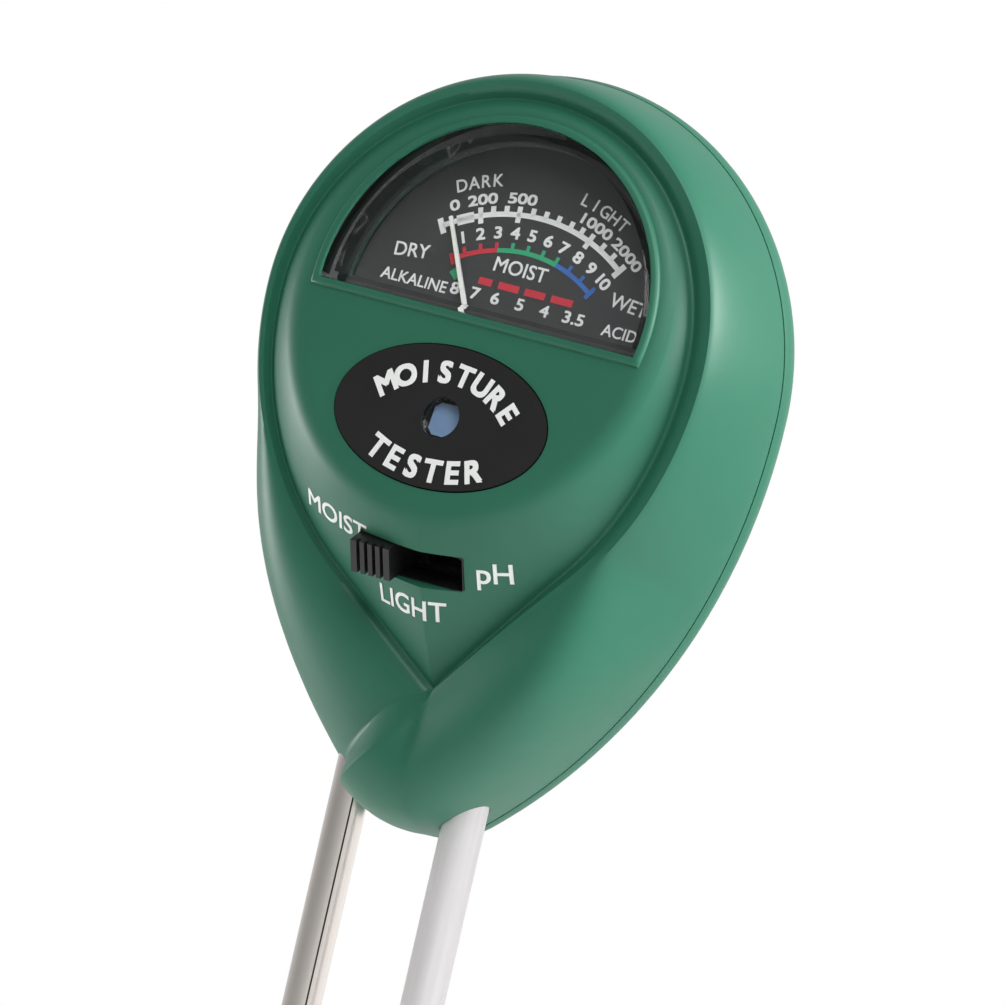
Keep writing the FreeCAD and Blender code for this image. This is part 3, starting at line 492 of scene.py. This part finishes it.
def new_material(name):
    """New material as (material, its node tree, its main shader)."""
    material = bpy.data.materials.new(name)
    material.use_nodes = True
    tree = material.node_tree
    return material, tree, tree.nodes["Principled BSDF"]


def noise(tree, scale, detail=3.0, stretch=(1, 1, 1)):
    """Noise in the object's own space; scale is in features per metre."""
    coords = tree.nodes.new("ShaderNodeTexCoord")
    mapping = tree.nodes.new("ShaderNodeMapping")
    mapping.inputs["Scale"].default_value = stretch
    texture = tree.nodes.new("ShaderNodeTexNoise")
    texture.inputs["Scale"].default_value = scale
    texture.inputs["Detail"].default_value = detail
    tree.links.new(coords.outputs["Object"], mapping.inputs["Vector"])
    tree.links.new(mapping.outputs["Vector"], texture.inputs["Vector"])
    return texture.outputs["Fac"]


def remap(tree, value, low, high):
    """Scales a 0 to 1 value into a range."""
    node = tree.nodes.new("ShaderNodeMapRange")
    node.inputs["To Min"].default_value = low
    node.inputs["To Max"].default_value = high
    tree.links.new(value, node.inputs["Value"])
    return node.outputs["Result"]


def tint(tree, shader, color, amount, factor):
    """Varies a base colour a little, lighter and darker."""
    node = tree.nodes.new("ShaderNodeMix")
    node.data_type = "RGBA"
    node.inputs["A"].default_value = [c * (1 - amount) for c in color] + [1]
    node.inputs["B"].default_value = [min(1.0, c * (1 + amount)) for c in color] + [1]
    tree.links.new(factor, node.inputs["Factor"])
    tree.links.new(node.outputs["Result"], shader.inputs["Base Color"])


def bump(tree, shader, height, strength, distance):
    """Roughens a shader's surface by a height pattern."""
    node = tree.nodes.new("ShaderNodeBump")
    node.inputs["Strength"].default_value = strength
    node.inputs["Distance"].default_value = distance
    tree.links.new(height, node.inputs["Height"])
    tree.links.new(node.outputs["Normal"], shader.inputs["Normal"])


def plastic(name, color, rough, grain=2600.0, mottle=0.05, coat=0.0, shine=0.5):
    """Moulded plastic: fine spark-eroded grain, faint mottling, uneven gloss."""
    material, tree, shader = new_material(name)
    tint(tree, shader, color, mottle, noise(tree, 90.0))
    gloss = remap(tree, noise(tree, 160.0, 4.0), rough - 0.05, rough + 0.06)
    tree.links.new(gloss, shader.inputs["Roughness"])
    bump(tree, shader, noise(tree, grain, 2.0), 0.35, GRAIN_DEPTH)
    shader.inputs["Coat Weight"].default_value = coat
    shader.inputs["Specular IOR Level"].default_value = shine
    return material


def metal(name, color, rough, streak=(1, 1, 0.03)):
    """Drawn or turned metal with fine streaks."""
    material, tree, shader = new_material(name)
    shader.inputs["Metallic"].default_value = 1.0
    streaks = noise(tree, STREAKS_PER_METRE, 3.0, streak)
    tint(tree, shader, color, 0.07, streaks)
    tree.links.new(remap(tree, noise(tree, 300.0, 4.0, streak), rough - 0.06, rough + 0.08),
                   shader.inputs["Roughness"])
    bump(tree, shader, streaks, 0.25, STREAK_DEPTH)
    return material


def clear(name, color):
    """Clear moulded plastic: polished, faintly wavy, and open to light for what lies behind it."""
    material, tree, shader = new_material(name)
    shader.inputs["Base Color"].default_value = (*color, 1)
    shader.inputs["IOR"].default_value = 1.35
    shader.inputs["Transmission Weight"].default_value = 1.0
    tree.links.new(remap(tree, noise(tree, 240.0, 4.0), 0.0, 0.01), shader.inputs["Roughness"])
    bump(tree, shader, noise(tree, 30.0, 0.0), 0.02, 0.00001)
    rays = tree.nodes.new("ShaderNodeLightPath")
    passing = tree.nodes.new("ShaderNodeBsdfTransparent")
    passing.inputs["Color"].default_value = (0.93, 0.94, 0.94, 1)
    blend = tree.nodes.new("ShaderNodeMixShader")
    output = next(n for n in tree.nodes if n.type == "OUTPUT_MATERIAL")
    tree.links.new(rays.outputs["Is Shadow Ray"], blend.inputs["Fac"])
    tree.links.new(shader.outputs["BSDF"], blend.inputs[1])
    tree.links.new(passing.outputs["BSDF"], blend.inputs[2])
    tree.links.new(blend.outputs["Shader"], output.inputs["Surface"])
    return material


MATERIALS = {
    "green_plastic": plastic("green_plastic", (0.020, 0.128, 0.078), 0.42, shine=0.36),
    "black_plastic": plastic("black_plastic", (0.008, 0.008, 0.0085), 0.40, mottle=0.15),
    "clear_plastic": clear("clear_plastic", (0.97, 0.98, 0.98)),
    "sensor_glass": plastic("sensor_glass", (0.16, 0.26, 0.42), 0.15, coat=1.0),
    "dial_enamel": plastic("dial_enamel", (0.036, 0.036, 0.037), 0.55, grain=4000.0),
    "white_enamel": plastic("white_enamel", (0.80, 0.80, 0.76), 0.4),
    "plated_steel": metal("plated_steel", (0.62, 0.61, 0.58), 0.3),
    "nickel": metal("nickel", (0.93, 0.87, 0.82), 0.24),
    "aluminium": metal("aluminium", (0.84, 0.82, 0.83), 0.6),
    "brass": metal("brass", (0.72, 0.55, 0.25), 0.3),
    "bronze": metal("bronze", (0.62, 0.42, 0.22), 0.32),
    "copper": metal("copper", (0.65, 0.30, 0.16), 0.35, streak=(0.02, 1, 1)),
    "magnet": metal("magnet", (0.16, 0.16, 0.17), 0.5),
    "board": plastic("board", (0.30, 0.20, 0.08), 0.4),
    "resistor_coat": plastic("resistor_coat", (0.18, 0.36, 0.55), 0.25, coat=0.5),
    "tinned": metal("tinned", (0.7, 0.7, 0.68), 0.3),
    "lead_insulation": plastic("lead_insulation", (0.5, 0.03, 0.02), 0.35),
}
WHITE_INK = plastic("white_ink", (0.78, 0.79, 0.78), 0.5, grain=3000.0, mottle=0.08)
RED_INK = plastic("red_ink", (0.55, 0.03, 0.05), 0.5, mottle=0.1)
GREEN_INK = plastic("green_ink", (0.03, 0.36, 0.17), 0.5, mottle=0.1)
BLUE_INK = plastic("blue_ink", (0.04, 0.14, 0.45), 0.5, mottle=0.1)

for entry in frame["record"]["subparts"]:
    mesh = frame["nodes"][entry["node"]].data
    mesh.materials.clear()
    mesh.materials.append(MATERIALS[entry["material_slot"]])

shell = front_shell(MATERIALS["green_plastic"])
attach(shell, "housing")
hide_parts("front_shell")

# ---------------------------------------------------------------- switch surround
SURROUND_WALL = 0.12
SURROUND_FRONT = -0.3
SURROUND_BACK = -2.5


def switch_surround():
    """Thin black frame of the switch that lines the slot."""
    bm = bmesh.new()
    width, height = (side - 0.02 for side in SLOT_SIZE)
    outer = rounded_box(width, height, SLOT_CORNER)
    inner = rounded_box(width - 2 * SURROUND_WALL, height - 2 * SURROUND_WALL, 0.3)
    corners = ((outer, SURROUND_BACK), (outer, SURROUND_FRONT),
               (inner, SURROUND_FRONT), (inner, SURROUND_BACK))
    rings = [[ON_SWITCH @ Vector((x, y, z)) for x, y in outline] for outline, z in corners]
    add_rings(bm, rings + [rings[0]])
    bmesh.ops.remove_doubles(bm, verts=bm.verts[:], dist=1e-7)
    piece = finish_mesh(bm, "switch_surround", MATERIALS["black_plastic"])
    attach(piece, "housing")


switch_surround()

# ---------------------------------------------------------------- probes
PROBE_LENGTH = 195.0
LEFT_PROBE_RADIUS = 2.25
RIGHT_PROBE_RADIUS = 2.5
PROBE_INSIDE = 11.0                                   # how far a probe runs on into the head
TIP_LENGTH = 8.0
SLEEVE_LENGTH = 2.0
TUBE_SEAM_ANGLE = math.radians(41.0)                  # right of straight ahead
TUBE_SEAM_WIDTH = 0.2
TUBE_SEAM_DEPTH = 0.25
TUBE_STEPS = 72
TIP_FLAT = 0.4
LEFT_SECTION = ((LEFT_PROBE_RADIUS, -PROBE_LENGTH + TIP_LENGTH + SLEEVE_LENGTH),
                (LEFT_PROBE_RADIUS, PROBE_INSIDE))
RIGHT_SECTION = ((TIP_FLAT, -PROBE_LENGTH), (RIGHT_PROBE_RADIUS, -PROBE_LENGTH + TIP_LENGTH),
                 (RIGHT_PROBE_RADIUS, PROBE_INSIDE))


def turned(x, section_points, notch, name, material):
    """Turned rod round an upright axis; a notch runs along it at the tube seam's angle."""
    bm = bmesh.new()
    half = TUBE_SEAM_WIDTH / 2 / LEFT_PROBE_RADIUS
    rest = [2 * math.pi * i / TUBE_STEPS for i in range(1, TUBE_STEPS)]
    turns = [half * 0.8, half] + rest + [-half, -half * 0.8]
    rings = []
    for radius, z in section_points:
        ring = []
        for turn in turns:
            inside = notch if abs(turn) < half * 0.9 else 0.0
            angle = TUBE_SEAM_ANGLE + turn
            reach = radius - inside
            ring.append(ON_HEAD @ Vector((x + reach * math.sin(angle), -reach * math.cos(angle), z)))
        rings.append(ring)
    loops = add_rings(bm, rings)
    bm.faces.new(loops[0])
    bm.faces.new(loops[-1])
    return finish_mesh(bm, name, material)


def probes():
    """Both probes below the head: a seamed tube on the left, a solid pointed rod on the right."""
    tube = turned(-PROBE_X, LEFT_SECTION, TUBE_SEAM_DEPTH, "left_probe_shaft", MATERIALS["nickel"])
    # The notch's walls take black plastic as painted shade: the seam's dark line is laid on as colour instead of
    # coming from the notch's own shading.
    tube.data.materials.append(MATERIALS["black_plastic"])
    floor_of_notch = (LEFT_PROBE_RADIUS - TUBE_SEAM_DEPTH / 2) * MM
    axis = ON_HEAD @ Vector((-PROBE_X, 0, 0))
    for polygon in tube.data.polygons:
        away = polygon.center - axis
        if math.hypot(away.x, away.y) < floor_of_notch and polygon.normal.z ** 2 < 0.5:
            polygon.material_index = 1
    rod = turned(PROBE_X, RIGHT_SECTION, 0.0, "right_probe_shaft", MATERIALS["aluminium"])
    for piece, node, slot in ((tube, "left_probe_tube", "nickel"), (rod, "right_probe_rod", "aluminium")):
        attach(piece, "housing")
        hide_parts(node)
    return tube, rod


shafts = probes()

# ---------------------------------------------------------------- printing
INK = 0.05
OVERPRINT_RISE = 0.005
BAND_OF_INK = {}


def ink(name, material):
    """Collects all printing of one colour on one surface."""
    if name not in BAND_OF_INK:
        BAND_OF_INK[name] = (bmesh.new(), material)
    return BAND_OF_INK[name][0]


def ribbon(bm, points, width, z, place):
    """Flat printed line of constant width through local (x, y) points."""
    left, right = [], []
    for i, point in enumerate(points):
        before = Vector(points[max(0, i - 1)])
        after = Vector(points[min(len(points) - 1, i + 1)])
        along = (after - before).normalized()
        side = Vector((-along.y, along.x)) * width / 2
        left.append(Vector(point) + side)
        right.append(Vector(point) - side)
    rings = []
    for a, b in zip(left, right):
        rings.append([place @ Vector((a.x, a.y, z)), place @ Vector((b.x, b.y, z)),
                      place @ Vector((b.x, b.y, z + INK)), place @ Vector((a.x, a.y, z + INK))])
    loops = add_rings(bm, rings)
    bm.faces.new(loops[0])
    bm.faces.new(loops[-1])


def glyph(text, size):
    """Mesh of a word in millimetres, standing on its baseline at x = 0."""
    curve = bpy.data.curves.new("glyph", "FONT")
    curve.body = text
    curve.size = size
    curve.extrude = INK / 2
    curve.resolution_u = 4
    letter = bpy.data.objects.new("glyph", curve)
    bpy.context.scene.collection.objects.link(letter)
    bpy.context.view_layer.update()
    mesh = bpy.data.meshes.new_from_object(letter.evaluated_get(bpy.context.evaluated_depsgraph_get()))
    bpy.data.objects.remove(letter)
    bpy.data.curves.remove(curve)
    return mesh


def stamp(bm, mesh, matrix):
    """Copies a glyph into a bmesh through a matrix."""
    copy = mesh.copy()
    copy.transform(matrix)
    bm.from_mesh(copy)
    bpy.data.meshes.remove(copy)


def word(bm, text, x, y, size, place, z, turn=0.0, stretch=1.0, bold=0.02):
    """Printed word centred on a local point, turned in degrees and made bolder by overprinting."""
    mesh = glyph(text, size)
    xs = [v.co.x for v in mesh.vertices]
    ys = [v.co.y for v in mesh.vertices]
    centre = Vector((-(min(xs) + max(xs)) / 2, -(min(ys) + max(ys)) / 2, INK / 2))
    upright = Matrix.Diagonal((stretch, 1, 1, 1)) @ Matrix.Translation(centre)
    turned_place = place @ Matrix.Translation((x, y, z)) @ Matrix.Rotation(math.radians(turn), 4, "Z")
    for i, (right, up) in enumerate(((-1, -1), (1, -1), (-1, 1), (1, 1))):
        shift = Matrix.Translation((right * bold, up * bold, i * OVERPRINT_RISE))
        stamp(bm, mesh, turned_place @ shift @ upright)
    bpy.data.meshes.remove(mesh)


def around(radius, angle):
    """Point on the dial at an angle in degrees right of upright about the needle's axis."""
    a = math.radians(angle)
    return radius * math.sin(a), -PIVOT_BELOW_CHORD + radius * math.cos(a)


def arc_word(bm, text, radius, centre, spread, size, place, z, stretch=1.0, bold=0.02):
    """Word whose letters follow an arc about the needle's axis."""
    count = len(text)
    for i, letter in enumerate(text):
        angle = centre + spread * (i - (count - 1) / 2)
        x, y = around(radius, angle)
        word(bm, letter, x, y, size, place, z, -angle, stretch, bold)


def arc_line(bm, radius, start, end, width, place, z):
    """Printed arc about the needle's axis."""
    steps = max(4, int(abs(end - start)))
    points = [around(radius, start + (end - start) * i / steps) for i in range(steps + 1)]
    ribbon(bm, points, width, z, place)


def tick(bm, angle, inner, outer, width, place, z):
    """Short printed line that points at the needle's axis."""
    ribbon(bm, [around(inner, angle), around(outer, angle)], width, z, place)


LIGHT_RADIUS = 21.1                                   # scales: radius in millimetres, ends in degrees
LIGHT_END = 34.3
LIGHT_LINE = 0.62
LIGHT_TICK = 0.95
LIGHT_TICKS = (-20.9, -16.6, -12.1, -7.7, -3.0, 1.6, 6.2, 11.0, 15.2, 19.2, 24.3, 29.2)
LONG_LIGHT_TICKS = (-20.9, -7.7, 19.2)
LIGHT_NUMBERS = (("0", -29.0), ("200", -20.2), ("500", -7.6), ("1000", 18.0), ("2000", 32.0))
MOISTURE_RADIUS = 16.75
MOISTURE_END = 33.3
MOISTURE_LINE = 0.55
MOISTURE_NUMBER_ANGLES = [-27.7 + 6.75 * step for step in range(10)]
RED_END = -13.8
GREEN_END = 13.3
PH_NUMBERS = (("8", -7.55), ("7", -4.85), ("6", -2.15), ("5", 1.15), ("4", 4.45), ("3.5", 8.35))
PH_NUMBER_Y = 4.78
PH_DASHES = ((-4.95, -3.2), (-2.3, 0.4), (1.2, 3.9), (4.75, 7.6))
PH_DASH_Y = 6.38
PH_DASH_WIDTH = 0.85


def print_light_scale():
    """Outer white scale with its numbers and words."""
    white = ink("dial_print_white", WHITE_INK)
    z = DIAL_FACE
    arc_line(white, LIGHT_RADIUS, -LIGHT_END, LIGHT_END, LIGHT_LINE, ON_FACE, z)
    for end in (-LIGHT_END, LIGHT_END):
        tick(white, end, LIGHT_RADIUS - LIGHT_TICK, LIGHT_RADIUS + LIGHT_TICK, 0.7, ON_FACE, z)
    arc_line(white, LIGHT_RADIUS, -29.0, -23.2, 2 * LIGHT_LINE, ON_FACE, z)
    for angle in LIGHT_TICKS:
        tick(white, angle, LIGHT_RADIUS, LIGHT_RADIUS + 1.0, LIGHT_LINE, ON_FACE, z)
    for angle in LONG_LIGHT_TICKS:
        tick(white, angle, LIGHT_RADIUS - LIGHT_TICK, LIGHT_RADIUS, LIGHT_LINE, ON_FACE, z)
    for text, angle in LIGHT_NUMBERS:
        arc_word(white, text, 23.05, angle, 3.15, 1.75, ON_FACE, z, 1.5, 0.05)
    arc_word(white, "DARK", 25.2, -21.0, 3.5, 2.15, ON_FACE, z, 0.95)
    arc_word(white, "LIGHT", 25.0, 18.0, 3.4, 2.15, ON_FACE, z, 0.95)


def print_moisture_numbers():
    """Numbers and words of the middle scale."""
    white = ink("dial_print_white", WHITE_INK)
    z = DIAL_FACE
    for number, angle in enumerate(MOISTURE_NUMBER_ANGLES, 1):
        arc_word(white, str(number), 18.9, angle, 3.1, 1.95, ON_FACE, z, 1.25, 0.05)
    word(white, "DRY", -14.5, 7.85, 2.35, ON_FACE, z, 6.0)
    word(white, "WET", 14.6, 7.85, 2.35, ON_FACE, z, -6.0)
    word(white, "MOIST", -0.2, 8.75, 2.45, ON_FACE, z)


def print_ph_numbers():
    """Numbers and words of the lowest scale."""
    white = ink("dial_print_white", WHITE_INK)
    z = DIAL_FACE
    word(white, "ALKALINE", -13.0, 4.55, 1.95, ON_FACE, z)
    word(white, "ACID", 14.6, 4.45, 1.95, ON_FACE, z)
    for text, x in PH_NUMBERS:
        word(white, text, x, PH_NUMBER_Y, 1.95, ON_FACE, z, 0.0, 1.25, 0.04)


def print_colour_bands():
    """Red, green and blue parts of the moisture arc, and the dashes above the pH numbers."""
    z = DIAL_FACE
    bands = (("dial_print_red", RED_INK, -MOISTURE_END, RED_END),
             ("dial_print_green", GREEN_INK, RED_END, GREEN_END),
             ("dial_print_blue", BLUE_INK, GREEN_END, MOISTURE_END))
    for name, material, start, end in bands:
        bm = ink(name, material)
        arc_line(bm, MOISTURE_RADIUS, start, end, MOISTURE_LINE, ON_FACE, z)
        for angle in MOISTURE_NUMBER_ANGLES:
            if start < angle - 0.4 <= end:
                tick(bm, angle, MOISTURE_RADIUS, MOISTURE_RADIUS + 0.95, 0.42, ON_FACE, z)
    red = ink("dial_print_red", RED_INK)
    green = ink("dial_print_green", GREEN_INK)
    blue = ink("dial_print_blue", BLUE_INK)
    for bm, end in ((red, -MOISTURE_END), (blue, MOISTURE_END)):
        tick(bm, end, MOISTURE_RADIUS - 0.7, MOISTURE_RADIUS + 0.7, 0.5, ON_FACE, z)
    for start, end in PH_DASHES:
        ribbon(red, [(start, PH_DASH_Y), (end, PH_DASH_Y)], PH_DASH_WIDTH, z, ON_FACE)
    ribbon(green, [(-8.7, 6.75), (-7.7, 6.0)], PH_DASH_WIDTH, z, ON_FACE)


BADGE_FACE = 0.15
BADGE_WORDS = (("MOISTURE", 12.5, -18.6, 1, 11.6, 3.5),   # arc's radius, centre, side, spacing, size
               ("TESTER", 17.5, -0.2, -1, 8.6, 3.7))


def print_badge():
    """Arched generic words on the badge."""
    white = ink("badge_print", WHITE_INK)
    for text, radius, centre_y, sign, spread, size in BADGE_WORDS:
        count = len(text)
        for i, letter in enumerate(text):
            angle = spread * (i - (count - 1) / 2)
            a = math.radians(angle)
            x = radius * math.sin(a)
            y = centre_y + sign * radius * math.cos(a)
            word(white, letter, x, y, size, ON_FACE, BADGE_FACE, -sign * angle, 1.0, 0.13)


def print_labels():
    """Mode names round the switch, laid onto the curved panel."""
    flat = bmesh.new()
    word(flat, "MOIST", -11.1, 2.2, 3.3, ON_SWITCH, 0.0, -4.0, 1.08, 0.04)
    word(flat, "LIGHT", 0.2, -5.2, 3.6, ON_SWITCH, 0.0, 0.0, 0.95, 0.04)
    word(flat, "pH", 10.3, -0.1, 3.8, ON_SWITCH, 0.0, 0.0, 0.9, 0.04)
    tree = BVHTree.FromObject(shell, bpy.context.evaluated_depsgraph_get())
    middle = INK / 2
    back = ON_SWITCH.inverted()
    for vertex in flat.verts:
        local = back @ vertex.co
        lift = local.z if local.z > middle else -INK
        origin = ON_SWITCH @ Vector((local.x, local.y, 8.0))
        hit = tree.ray_cast(origin, -SWITCH_OUT)[0]
        if hit is not None:
            vertex.co = hit + SWITCH_OUT * lift * MM
    mesh = bpy.data.meshes.new("labels")
    flat.to_mesh(mesh)
    flat.free()
    ink("switch_labels", WHITE_INK).from_mesh(mesh)


print_light_scale()
print_moisture_numbers()
print_ph_numbers()
print_colour_bands()
print_badge()
print_labels()
for name, (bm, material) in BAND_OF_INK.items():
    print_piece = finish_mesh(bm, name, material)
    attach(print_piece, "housing")

# ---------------------------------------------------------------- stage, light, camera
FLOOR_RADIUS = 0.9
FLOOR_GAP = 0.0005
floor_paper = plastic("floor_paper", (0.86, 0.86, 0.85), 0.7, grain=600.0, mottle=0.01)
floor_bm = bmesh.new()
bmesh.ops.create_circle(floor_bm, cap_ends=True, segments=96, radius=FLOOR_RADIUS)
floor = finish_mesh(floor_bm, "floor", floor_paper)
floor.location.z = cad_low.z - FLOOR_GAP


def softbox(name, place, aim, size, power):
    """Square soft light that faces a point."""
    light = bpy.data.lights.new(name, "AREA")
    light.size = size
    light.energy = power
    lamp = bpy.data.objects.new(name, light)
    lamp.location = place
    lamp.rotation_euler = (Vector(place) - Vector(aim)).to_track_quat("Z", "Y").to_euler()
    bpy.context.scene.collection.objects.link(lamp)


head_middle = CHORD * MM
LIGHTS = (("right_softbox", (0.90, 0.10, 0.46), 0.60, 0.30, 5.5),
          ("front_fill", (0.30, -0.60, 0.75), 0.80, 0.50, 3.6),
          ("low_left_softbox", (-0.90, -0.05, -0.25), 0.60, 0.30, 2.2))
for name, direction, distance, size, power in LIGHTS:
    softbox(name, head_middle + Vector(direction).normalized() * distance, head_middle, size, power)
shaded = bpy.data.collections.new("out_of_the_softboxes")
for shaft in shafts:
    shaded.objects.link(shaft)
for entry in shaded.collection_objects:
    entry.light_linking.link_state = "EXCLUDE"
for name in ("right_softbox", "low_left_softbox"):
    bpy.data.objects[name].light_linking.receiver_collection = shaded

bpy.context.scene.view_settings.view_transform = "Standard"
BRIGHT_SIDE = Vector((0.47, 0.81, -0.34))             # the room is brightest behind, right and below
DIM_LEVEL = 0.2
BRIGHT_LEVEL = 0.95


def studio_world():
    """White backdrop for the camera; a soft gradient, dim at the front left, for the light."""
    world = bpy.data.worlds.new("studio")
    world.use_nodes = True
    tree = world.node_tree
    background = tree.nodes["Background"]
    background.inputs["Color"].default_value = (1.0, 1.0, 1.0, 1)
    coords = tree.nodes.new("ShaderNodeTexCoord")
    facing = tree.nodes.new("ShaderNodeVectorMath")
    facing.operation = "DOT_PRODUCT"
    facing.inputs[1].default_value = BRIGHT_SIDE.normalized()
    level = tree.nodes.new("ShaderNodeMapRange")
    level.inputs["From Min"].default_value = -1.0
    level.inputs["To Min"].default_value = DIM_LEVEL
    level.inputs["To Max"].default_value = BRIGHT_LEVEL
    rays = tree.nodes.new("ShaderNodeLightPath")
    pick = tree.nodes.new("ShaderNodeMix")
    pick.inputs["B"].default_value = 1.0
    tree.links.new(coords.outputs["Generated"], facing.inputs[0])
    tree.links.new(facing.outputs["Value"], level.inputs["Value"])
    tree.links.new(rays.outputs["Is Camera Ray"], pick.inputs["Factor"])
    tree.links.new(level.outputs["Result"], pick.inputs["A"])
    tree.links.new(pick.outputs["Result"], background.inputs["Strength"])
    return world


bpy.context.scene.world = studio_world()

# The camera looks from the right of the dial face, slightly from above, and is rolled.
VIEW_WIDTH = 114.857                                  # millimetres across the picture at the object
CAMERA_AZIMUTH = math.radians(28.0)
CAMERA_ELEVATION = math.radians(3.95)
CAMERA_ROLL = math.radians(12.9)
CAMERA_DISTANCE = 1.6
SENSOR = 36.0
camera_data = bpy.data.cameras.new("camera")
camera_data.sensor_width = SENSOR
camera_data.lens = SENSOR * CAMERA_DISTANCE / MM / VIEW_WIDTH
camera = bpy.data.objects.new("camera", camera_data)
bpy.context.scene.collection.objects.link(camera)
back = Vector((math.sin(CAMERA_AZIMUTH) * math.cos(CAMERA_ELEVATION),
               -math.cos(CAMERA_AZIMUTH) * math.cos(CAMERA_ELEVATION),
               math.sin(CAMERA_ELEVATION)))
right = Vector((0, 0, 1)).cross(back).normalized()
up = back.cross(right)
right, up = (right * math.cos(CAMERA_ROLL) + up * math.sin(CAMERA_ROLL),
             up * math.cos(CAMERA_ROLL) - right * math.sin(CAMERA_ROLL))
AIM_RIGHT = 3.3257                                    # picture's middle, from the window's straight edge
AIM_BELOW = 20.3314
aim = (CHORD + right * AIM_RIGHT - up * AIM_BELOW) * MM
turn = Matrix((right, up, back)).transposed().to_4x4()
camera.matrix_world = Matrix.Translation(aim + back * CAMERA_DISTANCE) @ turn
camera_data.clip_start = 0.1
camera_data.clip_end = 20.0
bpy.context.scene.camera = camera
